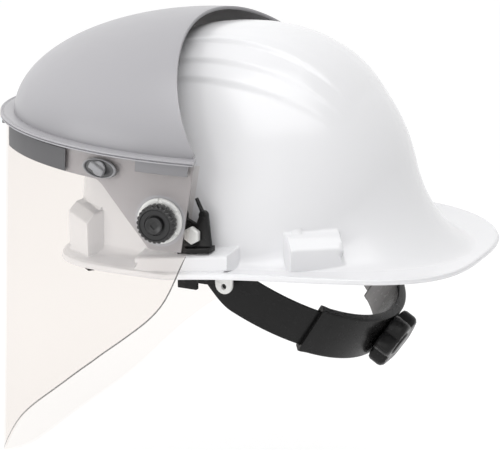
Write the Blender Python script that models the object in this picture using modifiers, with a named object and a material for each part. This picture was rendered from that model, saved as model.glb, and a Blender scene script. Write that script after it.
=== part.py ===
"""Cap style hard hat with its suspension and a face shield on slot adapters.

Metres, +Z up. The origin is the middle of the head opening at the level of the
side brim. +X is the rear, where the peak points, -X is the front, where the
shield hangs, +Y is the wearer's right.
"""
import math

import bmesh
import bpy
from mathutils import Matrix, Vector

# Fits
SEAT_GAP = 0.0003
RUNNING_GAP = 0.0005

# Hat shell
DOME_CENTRE_X = -0.002
DOME_HALF_LENGTH = 0.1155
DOME_HALF_WIDTH = 0.100
DOME_BASE_Z = 0.0023
DOME_HEIGHT = 0.1345
DOME_PLAN_POWER = 2.27
DOME_RISE_POWER = 2.4
SHELL_WALL = 0.0022
SIDE_BRIM_WIDTH = 0.014
PEAK_WIDTH = 0.0445
FRONT_BRIM_WIDTH = 0.0087
PEAK_POWER = 2.9
FRONT_BRIM_POWER = 2.22
BRIM_SIDE_Z = 0.0021
PEAK_RISE = 0.0036
PEAK_ARCH = 0.0220
FRONT_DROP = 0.0134
FRONT_DROP_POWER = 1.8
BRIM_SLOPE = 0.0042
BRIM_LIP = 0.0040
PEAK_LIP = 0.0027
FILLET = 0.0030
PEAK_FILLET_RISE = 0.055
PEAK_FILLET_REACH = 0.036
FILLET_FADE_POWER = 4
FILLET_EASE = 1.3
FILLET_ROWS = 5
SHELL_COLUMNS = 60
DOME_ROWS = 11
DOME_ROW_EASE = 0.85
BRIM_MIDDLE = 0.55

# Stepped ribs along the crown of the shell
RIB_HALF_WIDTHS = (0.042, 0.057, 0.067)
RIB_SPANS = (4, 2, 1)
RIB_STEP = 0.0012
RIB_FRONT_X = -0.088
RIB_REAR_X = 0.086
RIB_TAPER = 0.34
RIB_SINK = 0.15
RIB_TAPER_POWER = 2.2
RIB_FADE_POWER = 4
RIB_STATIONS = 14

# Suspension pockets and slot housings on the shell's wall
POCKET_ANGLES = {"front": 132.5, "rear": 47.5}
POCKET_WIDTHS = {"front": 0.040, "rear": 0.033}
POCKET_DEPTHS = {"front": 0.0085, "rear": 0.0120}
POCKET_TOP_Z = 0.027
POCKET_SHOULDER = 0.007
POCKET_ROUND = 0.0016
BLOCK_DRAFT = 0.001
HOUSING_ANGLE = 85.7
HOUSING_WIDTH = 0.062
HOUSING_DEPTH = 0.0115
HOUSING_TOP_Z = 0.0142
HOUSING_SLOPE = 0.123
HOUSING_CHAMFER = 0.0020
CORNER_RADIUS = 0.004

# Slot adapter
ADAPTER_STANDOFF = 0.0040
ADAPTER_PLATE = 0.0030
BLADE_X = (0.0030, 0.0160)
BLADE_LOW_Z = -0.0075
FOOT_X = (0.0090, 0.0260)
FOOT_DEPTH = 0.0080
FOOT_HEIGHT = 0.0035
LOBE_X = 0.0207
LOBE_Z = 0.0386
LOBE_RADIUS = 0.0030
NOTCH_X = 0.0160
NOTCH_Z = 0.0330
FINGER_TIP_X = 0.0158
FINGER_TIP_Z = 0.0485
FINGER_WIDTH = 0.0012
FINGER_SPREAD = 16.0
ARM_RADIUS = 0.0085
STUD_RADIUS = 0.0038
CLAMP_NUT_X = 0.0145
CLAMP_NUT_Z = 0.0265
CLAMP_NUT_FLATS = 0.0095
CLAMP_NUT_HEIGHT = 0.0035
CLAMP_NUT_BEVEL = 0.0008

# Headband, sweatband and straps
HEAD_END_GAP = 0.0175
HEAD_SIDE_GAP = 0.0200
HEAD_HALF_LENGTH = DOME_HALF_LENGTH - HEAD_END_GAP
HEAD_HALF_WIDTH = DOME_HALF_WIDTH - HEAD_SIDE_GAP
BAND_THICKNESS = 0.0020
BAND_LOW_Z = -0.0125
BAND_HIGH_Z = 0.0125
BAND_END_X = 0.016
SWEATBAND_THICKNESS = 0.0045
SWEATBAND_SPAN = 62.0
SWEATBAND_MARGIN = 0.0025
WEB_WIDTH = 0.019
WEB_THICKNESS = 0.0013
WEB_APEX_Z = 0.098
WEB_FOOT_SHARE = 0.62
WEB_STATIONS = 28
WEB_ROUND = 0.8
WEB_RISE = 0.75
WEB_GAP = 0.0012
KEY_THICKNESS = 0.0030
KEY_WIDTH = 0.0215
KEY_LOW_Z = -0.0025
KEY_ARM_HEIGHT = 0.0035
LUG_X = 0.0265
LUG_WIDTH = 0.0115
LUG_HIGH_Z = 0.0190
LUG_LOW_Z = -0.0125
LUG_THICKNESS = 0.0020
LUG_HOLE_RADIUS = 0.0017
LUG_HOLE_Z = -0.0078

# Nape strap and ratchet, in a frame that tilts down to the rear
NAPE_ROOT_X = 0.012
NAPE_ROOT_Z = -0.004
NAPE_TILT = 31.0
NAPE_REACH = 0.094
TAIL_THICKNESS = 0.0016
TAIL_WIDTH = 0.027
TAIL_ROOT_SHARE = 0.45
TAIL_START = -5.0
TAIL_FULL = 14.0
TAIL_NECK = (64.0, 69.0)
TAIL_END = 104.0
SLEEVE_START = 44.0
SLEEVE_HEIGHT = 0.0325
SLEEVE_BACK_WALL = 0.0022
SLEEVE_HEAD_WALL = 0.0016
PINION_RADIUS = 0.0042
PINION_TOOTH = 0.0006
PINION_TEETH = 8
SHAFT_RADIUS = 0.0030
KNOB_RADIUS = 0.0195
KNOB_DEPTH = 0.0125
KNOB_LOBES = 6
KNOB_LOBE_HEIGHT = 0.0050
KNOB_ROUND = 0.0020

# Face shield, in a frame at the ledge that leans a little to the rear
PIVOT_X = 0.0015
PIVOT_Z = 0.0370
SHIELD_PIVOT = (PIVOT_X, 0.0, PIVOT_Z)
SHIELD_BEHIND = 0.03175
LEDGE_ABOVE_PIVOT = 0.03695
SHIELD_LEAN = 3.7
SHIELD_STANDOFF = 0.0279
SHIELD_HALF_LENGTH = 0.1381
SHIELD_EDGE = 112.0
VISOR_THICKNESS = 0.0012
VISOR_EDGE = 113.5
VISOR_DROPS = (
    (0, 0.2668), (20, 0.2555), (40, 0.2310), (60, 0.1865), (75, 0.1564),
    (88, 0.1290), (98, 0.1095), (105, 0.0944), (109, 0.0810), (113.5, 0.0552),
)
VISOR_COLUMNS = 44
VISOR_ROWS = 4
VISOR_HOLE_RADIUS = 0.0155
BORE_REACH = 0.006
LEDGE_REACH = 0.0040
LEDGE_THICKNESS = 0.0025
LEDGE_MARGIN = 0.0008
BAND_WALL = 0.0022
BAND_DEPTH = 0.016
EAR_DEPTH = 0.053
EAR_FRONT = (87.0, 103.0)
EAR_SLANT = 2.25
EAR_LIP = 0.0035
CROWN_INSET = 0.0050
CROWN_WALL = 0.0022
CROWN_GAP = 0.0127
RIM_SWEEP = 0.0562
RIM_BOW = 0.0079
RIM_WAVE = 0.0040
RIM_END = 0.6
RIM_END_RISE = 0.0020
CROWN_COLUMNS = 44
CROWN_ROWS = 9
HOOK_THICKNESS = 0.0024
HOOK_HEIGHT = 0.0065
HOOK_FRONT_SPAN = 34.0
HOOK_EAR_SPAN = (98.0, 111.0)
LABEL_SPAN = (46.0, 77.0)
LABEL_TOP = 0.0015
LABEL_BOTTOM = 0.0150
LABEL_THICKNESS = 0.0006
LABEL_STATIONS = 10

# Twist locks on the band
TWIST_ANGLE = 88.0
TWIST_DROP = 0.0085
PLATE_HALF_LENGTH = 0.0118
PLATE_HALF_WIDTH = 0.0058
PLATE_HEIGHT = 0.0018
PLATE_BEVEL = 0.0006
TWIST_RADIUS = 0.0050
TWIST_HEIGHT = 0.0022
TWIST_BEVEL = 0.0006
TWIST_RIDGE_WIDTH = 0.0028
TWIST_RIDGE_HEIGHT = 0.0022
TWIST_SHANK_RADIUS = 0.0026
TWIST_BAR_LENGTH = 0.0100
TWIST_BAR_WIDTH = 0.0052
TWIST_BAR_HEIGHT = 0.0025
TWIST_REST = 40.0

# Pivot knobs on the ears
RING_RADIUS = 0.0135
RING_HEIGHT = 0.0022
RING_GAPS = 6
RING_NOTCH = 0.0022
GRIP_RADIUS = 0.0114
GRIP_HEIGHT = 0.0085
GRIP_TEETH = 24
GRIP_TOOTH = 0.0006
GRIP_WALL = 0.0022
GRIP_BEVEL = 0.0012
STUD_SWAY = 0.0025
HUB_RADIUS = 0.0052
HUB_HEIGHT = 0.0020
HUB_BEVEL = 0.0006
SOCKET_RADIUS = 0.0022
SOCKET_DEPTH = 0.00125

SIDES = {"left": -1.0, "right": 1.0}

for old in list(bpy.data.objects):
    bpy.data.objects.remove(old, do_unlink=True)


def make_collection(name):
    """Make a collection in the scene."""
    collection = bpy.data.collections.new(name)
    bpy.context.scene.collection.children.link(collection)
    return collection


PARTS = make_collection("hard_hat")
CUTTERS = make_collection("cutters")


def make_material(name, colour, roughness, alpha=1.0):
    """Make a Principled material of one colour."""
    finish = bpy.data.materials.new(name)
    finish.use_nodes = True
    shader = finish.node_tree.nodes["Principled BSDF"]
    shader.inputs["Base Color"].default_value = (*colour, 1.0)
    shader.inputs["Roughness"].default_value = roughness
    shader.inputs["Metallic"].default_value = 0.0
    shader.inputs["Alpha"].default_value = alpha
    return finish


WHITE_SHELL = make_material("white_shell", (0.86, 0.87, 0.87), 0.25)
GREY_CROWN = make_material("grey_crown", (0.46, 0.45, 0.48), 0.4)
CLEAR_SHEET = make_material("clear_sheet", (0.93, 0.90, 0.86), 0.05, 0.25)
DARK_LABEL = make_material("dark_label", (0.14, 0.14, 0.15), 0.5)
DARK_KNOB = make_material("dark_knob", (0.08, 0.08, 0.085), 0.5)
GREY_LOCK = make_material("grey_lock", (0.30, 0.30, 0.31), 0.4)
WHITE_FITTING = make_material("white_fitting", (0.80, 0.80, 0.79), 0.35)
BLACK_PLASTIC = make_material("black_plastic", (0.02, 0.02, 0.022), 0.45)
BLACK_FOAM = make_material("black_foam", (0.025, 0.025, 0.027), 0.9)
GREY_WEBBING = make_material("grey_webbing", (0.25, 0.25, 0.26), 0.9)
CUTTER_GREY = make_material("cutter_grey", (0.5, 0.5, 0.5), 0.35)


def add_object(name, bm, material, origin=(0, 0, 0), collection=PARTS):
    """Turn a bmesh into a named object with its origin on its joint's axis."""
    bmesh.ops.translate(bm, vec=-Vector(origin), verts=bm.verts)
    mesh = bpy.data.meshes.new(name)
    bm.to_mesh(mesh)
    bm.free()
    mesh.materials.append(material)
    mesh.shade_smooth()
    mesh.set_sharp_from_angle(angle=math.radians(35))
    piece = bpy.data.objects.new(name, mesh)
    piece.location = origin
    collection.objects.link(piece)
    return piece


def add_cutter(name, bm):
    """Turn a bmesh into a hidden cutter."""
    cutter = add_object(name, bm, CUTTER_GREY, collection=CUTTERS)
    cutter.hide_render = True
    cutter.display_type = "WIRE"
    return cutter


def cut(piece, cutter, operation="DIFFERENCE", solver="EXACT"):
    """Give a piece a Boolean modifier."""
    modifier = piece.modifiers.new(cutter.name, "BOOLEAN")
    modifier.operation = operation
    modifier.object = cutter
    modifier.solver = solver


def thicken(piece, thickness):
    """Give an open sheet its wall, inwards from the modelled face."""
    modifier = piece.modifiers.new("wall", "SOLIDIFY")
    modifier.thickness = thickness
    modifier.offset = -1.0


def sheet(rows, wrap=False, poles=()):
    """Skin rows of points with quads; two poles close the first and last rows of a wrapped sheet."""
    bm = bmesh.new()
    grid = [[bm.verts.new(point) for point in row] for row in rows]
    count = len(rows[0])
    last = count if wrap else count - 1
    for upper, lower in zip(grid, grid[1:]):
        for i in range(last):
            j = (i + 1) % count
            bm.faces.new((upper[i], lower[i], lower[j], upper[j]))
    for pole, row in zip(poles, (grid[0], grid[-1][::-1])):
        tip = bm.verts.new(pole)
        for i in range(count):
            bm.faces.new((tip, row[i], row[(i + 1) % count]))
    return bm


def loft(sections):
    """Skin closed sections of the same count of points and cap both ends."""
    bm = sheet(sections, wrap=True)
    bm.verts.ensure_lookup_table()
    count = len(sections[0])
    total = count * len(sections)
    bm.faces.new([bm.verts[i] for i in range(count)])
    bm.faces.new([bm.verts[i] for i in range(total - count, total)])
    bmesh.ops.recalc_face_normals(bm, faces=bm.faces)
    return bm


def place(bm, matrix):
    """Move a bmesh by a matrix and keep its faces pointing out."""
    bmesh.ops.transform(bm, matrix=matrix, verts=bm.verts)
    bmesh.ops.recalc_face_normals(bm, faces=bm.faces)
    return bm


def turned(radii, count, matrix=Matrix.Identity(4)):
    """Loft circles of given (height, radius) along local Z."""
    sections = []
    for height, radius in radii:
        ring = []
        for i in range(count):
            angle = 2 * math.pi * i / count
            reach = radius(angle) if callable(radius) else radius
            ring.append(Vector((reach * math.cos(angle), reach * math.sin(angle), height)))
        sections.append(ring)
    return place(loft(sections), matrix)


def box(low, high):
    """Make a box between two corners."""
    bm = bmesh.new()
    bmesh.ops.create_cube(bm, size=1.0)
    size = Vector(high) - Vector(low)
    middle = (Vector(high) + Vector(low)) / 2
    bmesh.ops.scale(bm, vec=size, verts=bm.verts)
    bmesh.ops.translate(bm, vec=middle, verts=bm.verts)
    return bm


def frame_matrix(origin, normal, up):
    """Local Z along the normal, local X as close to up as it can be."""
    axis_z = normal.normalized()
    axis_y = axis_z.cross(up).normalized()
    axis_x = axis_y.cross(axis_z)
    rotation = Matrix((axis_x, axis_y, axis_z)).transposed()
    return Matrix.Translation(origin) @ rotation.to_4x4()


def interpolate(points, at):
    """Read a smooth curve through (position, value) points, level at its start."""
    at = min(max(at, points[0][0]), points[-1][0])
    for k in range(len(points) - 1):
        if at <= points[k + 1][0]:
            break
    before = points[k - 1] if k else (-points[1][0], points[1][1])
    start = points[k]
    end = points[k + 1]
    after = points[min(k + 2, len(points) - 1)]
    span = end[0] - start[0]
    slope_in = (end[1] - before[1]) / (end[0] - before[0])
    slope_out = (after[1] - start[1]) / (after[0] - start[0])
    t = (at - start[0]) / span
    value = start[1] * (2 * t**3 - 3 * t**2 + 1) + end[1] * (3 * t**2 - 2 * t**3)
    return value + span * (slope_in * (t**3 - 2 * t**2 + t) + slope_out * (t**3 - t**2))


def dome_spread(z):
    """Share of the dome's plan at a height."""
    rise = min(max((z - DOME_BASE_Z) / DOME_HEIGHT, 0.0), 1.0)
    return (1 - rise**DOME_RISE_POWER) ** (1 / DOME_PLAN_POWER)


def dome_z(x, y):
    """Height of the dome's outer face over a plan point."""
    spread = math.hypot((x - DOME_CENTRE_X) / DOME_HALF_LENGTH, y / DOME_HALF_WIDTH)
    return DOME_BASE_Z + DOME_HEIGHT * (1 - min(spread, 1.0)**DOME_PLAN_POWER) ** (1 / DOME_RISE_POWER)


def wall_point(angle):
    """Plan point of the shell's wall at an ellipse angle in radians, and its outward normal."""
    normal = Vector((math.cos(angle) / DOME_HALF_LENGTH, math.sin(angle) / DOME_HALF_WIDTH, 0)).normalized()
    x = DOME_CENTRE_X + DOME_HALF_LENGTH * math.cos(angle)
    y = DOME_HALF_WIDTH * math.sin(angle)
    return Vector((x, y, 0)), normal


def brim_edge(direction):
    """Edge of the brim in a plan direction from the dome's middle."""
    along = math.cos(direction)
    across = math.sin(direction)
    to_rear = along > 0
    reach = DOME_HALF_LENGTH + (PEAK_WIDTH if to_rear else FRONT_BRIM_WIDTH)
    power = PEAK_POWER if to_rear else FRONT_BRIM_POWER
    half_width = DOME_HALF_WIDTH + SIDE_BRIM_WIDTH
    radius = ((abs(along) / reach) ** power + (abs(across) / half_width) ** power) ** (-1 / power)
    share = abs(radius * along) / reach
    if to_rear:
        z = BRIM_SIDE_Z + PEAK_RISE * share + PEAK_ARCH * share * (1 - share)
    else:
        z = BRIM_SIDE_Z - FRONT_DROP * share**FRONT_DROP_POWER
    return Vector((DOME_CENTRE_X + radius * along, radius * across, z))


def brim_root(edge):
    """Height of the wall's foot on the brim behind a point of the brim's edge."""
    return min(edge.z, BRIM_SIDE_Z) + BRIM_SLOPE


def shell_column(angle):
    """Points down the outside of the shell to the brim's lip and back up its inside."""
    foot, normal = wall_point(angle)
    spoke = foot - Vector((DOME_CENTRE_X, 0, 0))
    direction = math.atan2(spoke.y, spoke.x)
    edge = brim_edge(direction)
    foot.z = brim_root(edge)
    outward = edge - foot
    rear_share = max(math.cos(direction), 0.0) ** FILLET_FADE_POWER
    rise = FILLET + (PEAK_FILLET_RISE - FILLET) * rear_share
    reach = FILLET + (PEAK_FILLET_REACH - FILLET) * rear_share
    top_z = DOME_BASE_Z + DOME_HEIGHT
    shrink = 1 - SHELL_WALL / DOME_HALF_WIDTH
    down = Vector((0, 0, SHELL_WALL))
    outside = []
    inside = []
    for k in range(1, DOME_ROWS + 1):
        share = math.cos(math.pi / 2 * k / DOME_ROWS) ** DOME_ROW_EASE
        z = foot.z + rise + (top_z - foot.z - rise) * share
        level = Vector((DOME_CENTRE_X, 0, z))
        outside.append(level + spoke * dome_spread(z))
        inside.append(level + spoke * dome_spread(z) * shrink - down * share)
    for k in range(1, FILLET_ROWS + 1):
        share = k / FILLET_ROWS
        z = foot.z + rise * (1 - share) ** FILLET_EASE
        run = outward * (reach / outward.length) * share**2
        point = Vector((DOME_CENTRE_X, 0, z)) + spoke * dome_spread(z) + run
        outside.append(point)
        inside.append(point - spoke * (1 - shrink) * (1 - share) - down * share)
    for share in (BRIM_MIDDLE, 1.0):
        run = outward * (reach / outward.length * (1 - share) + share)
        outside.append(foot + run)
        inside.append(foot + run * (1 - SHELL_WALL / outward.length) - down)
    peak_share = max(edge.x - DOME_CENTRE_X, 0.0) / (DOME_HALF_LENGTH + PEAK_WIDTH)
    lip = BRIM_LIP + (PEAK_LIP - BRIM_LIP) * peak_share
    outside.append(edge + normal * lip / 4 - Vector((0, 0, lip)))
    inside.append(inside[-1] + down - Vector((0, 0, lip)))
    return outside + inside[::-1]


def rib_section(x):
    """Stepped section of the ribbed crown at one station, as a closed ring."""
    middle = (RIB_FRONT_X + RIB_REAR_X) / 2
    share = abs(x - middle) / (RIB_REAR_X - middle)
    narrowing = 1 - RIB_TAPER * share**RIB_TAPER_POWER
    fade = 1 - (1 + RIB_SINK) * share**RIB_FADE_POWER
    half = []
    sides = [0.0]
    for level, (width, spans) in enumerate(zip(RIB_HALF_WIDTHS, RIB_SPANS)):
        step = RIB_STEP * (len(RIB_SPANS) - level) * fade
        inner = sides[-1]
        half.append((inner, step))
        for k in range(1, spans + 1):
            sides.append(inner + (width * narrowing - inner) * k / spans)
            half.append((sides[-1], step))
    top = [(-y, h) for y, h in reversed(half)] + half[1:]
    base = [(y, -SHELL_WALL / 2) for y in reversed(sides)] + [(-y, -SHELL_WALL / 2) for y in sides[1:]]
    return [Vector((x, y, dome_z(x, y) + h)) for y, h in top + base]


def wall_block(angle, side, half_width, depth, levels, back):
    """Loft a block on the shell's wall; levels are (z, fall to the front, end inset, face inset)."""
    centre, normal = wall_point(side * math.radians(angle))
    tangent = Vector((-normal.y, normal.x, 0)) * side
    sections = []
    for z, fall, end_inset, face_inset in levels:
        half = half_width - end_inset
        face = depth - face_inset
        ring = []
        for k in range(5):
            along = half * (k / 2 - 1)
            plan = centre + tangent * along
            sag = along * along * wall_curvature(angle)
            ring.append(plan + normal * (back - sag) + Vector((0, 0, z - fall * along)))
        radius = min(CORNER_RADIUS, face / 2)
        for corner in (1, -1):
            for k in range(4):
                turn = math.radians(30 * k)
                turn = turn if corner > 0 else math.pi / 2 - turn
                along = corner * (half - radius + radius * math.cos(turn))
                out = face - radius + radius * math.sin(turn)
                ring.append(centre + tangent * along + normal * out + Vector((0, 0, z - fall * along)))
        sections.append(ring)
    return loft(sections)


def wall_curvature(angle):
    """Half the plan curvature of the wall, for its fall from the tangent."""
    turn = math.radians(angle)
    bend = math.hypot(DOME_HALF_LENGTH * math.sin(turn), DOME_HALF_WIDTH * math.cos(turn))
    return DOME_HALF_LENGTH * DOME_HALF_WIDTH / bend**3 / 2


def adapter_inner_y():
    """Distance of the adapter plate's inner face from the middle plane."""
    return DOME_HALF_WIDTH + ADAPTER_STANDOFF


def adapter_outer_y():
    """Distance of the adapter plate's outer face from the middle plane."""
    return adapter_inner_y() + ADAPTER_PLATE


def brim_beside(angle):
    """Point of the brim's edge next to a wall angle in degrees."""
    foot, _ = wall_point(math.radians(angle))
    return brim_edge(math.atan2(foot.y, foot.x - DOME_CENTRE_X))


def hollow_top():
    """Height up to which a pocket's hollow has its full depth."""
    return POCKET_TOP_Z - POCKET_SHOULDER - SHELL_WALL


def housing_top(x):
    """Height of the slot housing's top at a place along the hat."""
    centre, _ = wall_point(math.radians(HOUSING_ANGLE))
    return HOUSING_TOP_Z + HOUSING_SLOPE * (x - centre.x)


def build_shell():
    """Dome, brim and peak in one wall, with ribs, pockets and slot housings."""
    angles = [2 * math.pi * i / SHELL_COLUMNS for i in range(SHELL_COLUMNS)]
    columns = [shell_column(angle) for angle in angles]
    rows = [list(row) for row in zip(*columns)]
    top = Vector((DOME_CENTRE_X, 0, DOME_BASE_Z + DOME_HEIGHT))
    poles = (top, top - Vector((0, 0, SHELL_WALL)))
    shell = add_object("shell", sheet(rows, wrap=True, poles=poles), WHITE_SHELL)
    pitch = (RIB_REAR_X - RIB_FRONT_X) / RIB_STATIONS
    stations = [RIB_FRONT_X + pitch * k for k in range(RIB_STATIONS + 1)]
    cut(shell, add_cutter("rib_block", loft([rib_section(x) for x in stations])), "UNION", "MANIFOLD")
    for name, side in SIDES.items():
        for end, angle in POCKET_ANGLES.items():
            depth = POCKET_DEPTHS[end]
            edge = brim_beside(angle)
            outside = (
                (edge.z / 2 + brim_root(edge) / 2 - SHELL_WALL, 0.0, -BLOCK_DRAFT, -BLOCK_DRAFT),
                (POCKET_TOP_Z - POCKET_SHOULDER, 0.0, 0.0, 0.0),
                (POCKET_TOP_Z, 0.0, POCKET_ROUND, depth - SHELL_WALL),
            )
            inside = (
                (edge.z - BRIM_LIP * 4, 0.0, SHELL_WALL, SHELL_WALL),
                (hollow_top(), 0.0, SHELL_WALL, SHELL_WALL),
                (POCKET_TOP_Z - SHELL_WALL * 2, 0.0, SHELL_WALL + POCKET_ROUND, depth - SHELL_WALL * 2),
            )
            half = POCKET_WIDTHS[end] / 2
            block = wall_block(angle, side, half, depth, outside, -SHELL_WALL / 2)
            hollow = wall_block(angle, side, half, depth, inside, -SHELL_WALL * 2)
            cut(shell, add_cutter(f"pocket_{end}_{name}", block), "UNION")
            cut(shell, add_cutter(f"pocket_hollow_{end}_{name}", hollow))
        level = BRIM_SIDE_Z + BRIM_SLOPE / 2 - SHELL_WALL
        outside = (
            (level, HOUSING_SLOPE / 2, -BLOCK_DRAFT, -BLOCK_DRAFT / 2),
            (HOUSING_TOP_Z - HOUSING_CHAMFER, HOUSING_SLOPE, 0.0, 0.0),
            (HOUSING_TOP_Z, HOUSING_SLOPE, BLOCK_DRAFT, HOUSING_CHAMFER),
        )
        half = HOUSING_WIDTH / 2
        block = wall_block(HOUSING_ANGLE, side, half, HOUSING_DEPTH, outside, -SHELL_WALL / 2)
        cut(shell, add_cutter(f"slot_housing_{name}", block), "UNION")
        middle = side * (adapter_inner_y() + adapter_outer_y()) / 2
        half = ADAPTER_PLATE / 2 + RUNNING_GAP
        low = (BLADE_X[0] - RUNNING_GAP, middle - half, BLADE_LOW_Z - BRIM_LIP)
        high = (BLADE_X[1] + RUNNING_GAP, middle + half, housing_top(BLADE_X[1]) + BRIM_LIP)
        slot = box(low, high)
        cut(shell, add_cutter(f"slot_{name}", slot))


def extrude_outline(points, low_y, high_y):
    """Closed solid from an outline in the XZ plane between two Y values."""
    near = [Vector((x, low_y, z)) for x, z in points]
    far = [Vector((x, high_y, z)) for x, z in points]
    return loft([near, far])


def arc(centre_x, centre_z, radius, start, end, count):
    """Points of an arc in the XZ plane, angles in degrees."""
    points = []
    for k in range(count + 1):
        turn = math.radians(start + (end - start) * k / count)
        points.append((centre_x + radius * math.cos(turn), centre_z + radius * math.sin(turn)))
    return points


def build_adapter(name, side):
    """Foot on the slot housing, blade through the slot, arm with a round lobe and the pivot stud."""
    seats = [(x, housing_top(x) + SEAT_GAP) for x in (BLADE_X[0], FOOT_X[0], BLADE_X[1], FOOT_X[1])]
    lean = math.atan2(FINGER_TIP_Z - LOBE_Z, FINGER_TIP_X - LOBE_X)
    side_x = -math.sin(lean) * FINGER_WIDTH / 2
    side_z = math.cos(lean) * FINGER_WIDTH / 2
    outline = [(BLADE_X[0], BLADE_LOW_Z), (BLADE_X[1], BLADE_LOW_Z)]
    outline += seats[2:]
    outline += arc(LOBE_X, LOBE_Z, LOBE_RADIUS, -10, math.degrees(lean) - FINGER_SPREAD, 6)
    outline += [(FINGER_TIP_X + end * side_x, FINGER_TIP_Z + end * side_z) for end in (-1, 1)]
    outline += arc(LOBE_X, LOBE_Z, LOBE_RADIUS, math.degrees(lean) + FINGER_SPREAD, 200, 3)
    outline += [(NOTCH_X, NOTCH_Z)]
    outline += arc(PIVOT_X, PIVOT_Z, ARM_RADIUS, -10, 250, 14)
    outline += [(BLADE_X[0], seats[0][1] + FOOT_HEIGHT)]
    plate = extrude_outline(outline, side * adapter_inner_y(), side * adapter_outer_y())
    adapter = add_object(f"slot_adapter_{name}", plate, BLACK_PLASTIC)
    middle = side * (adapter_inner_y() + adapter_outer_y()) / 2
    foot = [seats[1], seats[3]] + [(x, z + FOOT_HEIGHT) for x, z in (seats[3], seats[1])]
    block = extrude_outline(foot, middle - FOOT_DEPTH / 2, middle + FOOT_DEPTH / 2)
    cut(adapter, add_cutter(f"adapter_foot_{name}", block), "UNION")
    start = side * (adapter_inner_y() + ADAPTER_PLATE / 2)
    reach = stud_end_y() - abs(start)
    axis = frame_matrix(Vector((PIVOT_X, start, PIVOT_Z)), Vector((0, side, 0)), Vector((0, 0, 1)))
    stud = turned(((0, STUD_RADIUS), (reach, STUD_RADIUS)), 20, axis)
    cut(adapter, add_cutter(f"adapter_stud_{name}", stud), "UNION")
    seat = Vector((CLAMP_NUT_X, side * (adapter_outer_y() + SEAT_GAP), CLAMP_NUT_Z))
    nut_axis = frame_matrix(seat, Vector((0, side, 0)), Vector((0, 0, 1)))
    corner = CLAMP_NUT_FLATS / math.sqrt(3)
    shoulder = CLAMP_NUT_HEIGHT - CLAMP_NUT_BEVEL
    profile = ((0, corner), (shoulder, corner), (CLAMP_NUT_HEIGHT, corner - CLAMP_NUT_BEVEL))
    add_object(f"clamp_nut_{name}", turned(profile, 6, nut_axis), WHITE_FITTING)


def ellipse_ring(angle, half_length, half_width, offset):
    """Plan point of the head oval at an angle in radians, moved out by an offset."""
    normal = Vector((math.cos(angle) / half_length, math.sin(angle) / half_width, 0)).normalized()
    return Vector((half_length * math.cos(angle), half_width * math.sin(angle), 0)) + normal * offset


def head_ribbon(start, end, count, inner, outer, low, high):
    """Upright ribbon round the head oval between two angles in degrees."""
    sections = []
    for k in range(count + 1):
        angle = math.radians(start + (end - start) * k / count)
        near = ellipse_ring(angle, HEAD_HALF_LENGTH, HEAD_HALF_WIDTH, inner)
        far = ellipse_ring(angle, HEAD_HALF_LENGTH, HEAD_HALF_WIDTH, outer)
        down = Vector((0, 0, low))
        up = Vector((0, 0, high))
        sections.append([near + down, far + down, far + up, near + up])
    return loft(sections)


def build_headband():
    """Plastic band round the front and the sides of the head, with its brow pad."""
    end = math.degrees(math.acos(BAND_END_X / HEAD_HALF_LENGTH))
    band = head_ribbon(end, 360 - end, 40, -BAND_THICKNESS, 0.0, BAND_LOW_Z, BAND_HIGH_Z)
    add_object("headband", band, BLACK_PLASTIC)
    face = -BAND_THICKNESS - SEAT_GAP
    low = BAND_LOW_Z - SWEATBAND_MARGIN
    high = BAND_HIGH_Z + SWEATBAND_MARGIN
    start = 180 - SWEATBAND_SPAN
    end = 180 + SWEATBAND_SPAN
    pad = head_ribbon(start, end, 20, face - SWEATBAND_THICKNESS, face, low, high)
    add_object("sweatband", pad, BLACK_FOAM)


def key_arm_length(angle):
    """Distance from the wall's outer face in to the headband along the wall's normal."""
    foot, normal = wall_point(math.radians(angle))
    a = (normal.x / HEAD_HALF_LENGTH) ** 2 + (normal.y / HEAD_HALF_WIDTH) ** 2
    b = foot.x * normal.x / HEAD_HALF_LENGTH**2 + foot.y * normal.y / HEAD_HALF_WIDTH**2
    c = (foot.x / HEAD_HALF_LENGTH) ** 2 + (foot.y / HEAD_HALF_WIDTH) ** 2 - 1
    return (b - math.sqrt(b * b - a * c)) / a


def build_key(end, angle, name, side):
    """Suspension key: tongue in the pocket and an arm in to the headband."""
    foot, normal = wall_point(side * math.radians(angle))
    tangent = Vector((-normal.y, normal.x, 0))
    face = POCKET_DEPTHS[end] - SHELL_WALL - SEAT_GAP
    inner = -key_arm_length(angle) + SEAT_GAP
    top = hollow_top() - 2 * RUNNING_GAP
    arm_low = KEY_LOW_Z - KEY_ARM_HEIGHT
    profile = [
        (face, arm_low),
        (face, top),
        (face - KEY_THICKNESS, top),
        (face - KEY_THICKNESS, KEY_LOW_Z),
        (inner, KEY_LOW_Z),
        (inner, arm_low),
    ]
    level = brim_beside(angle).z - BRIM_SIDE_Z
    sections = []
    for along in (-KEY_WIDTH / 2, KEY_WIDTH / 2):
        ring = []
        for out, z in profile:
            drop = level if z < top else 0.0
            ring.append(foot + normal * out + tangent * along + Vector((0, 0, z + drop)))
        sections.append(ring)
    add_object(f"suspension_key_{end}_{name}", loft(sections), BLACK_PLASTIC)


def web_foot(end, side):
    """Where a crown strap stands on a key's arm."""
    angle = POCKET_ANGLES[end]
    foot, normal = wall_point(side * math.radians(angle))
    z = KEY_LOW_Z + brim_beside(angle).z - BRIM_SIDE_Z + SEAT_GAP
    inset = key_arm_length(angle) * WEB_FOOT_SHARE
    return foot - normal * inset + Vector((0, 0, z))


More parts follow.
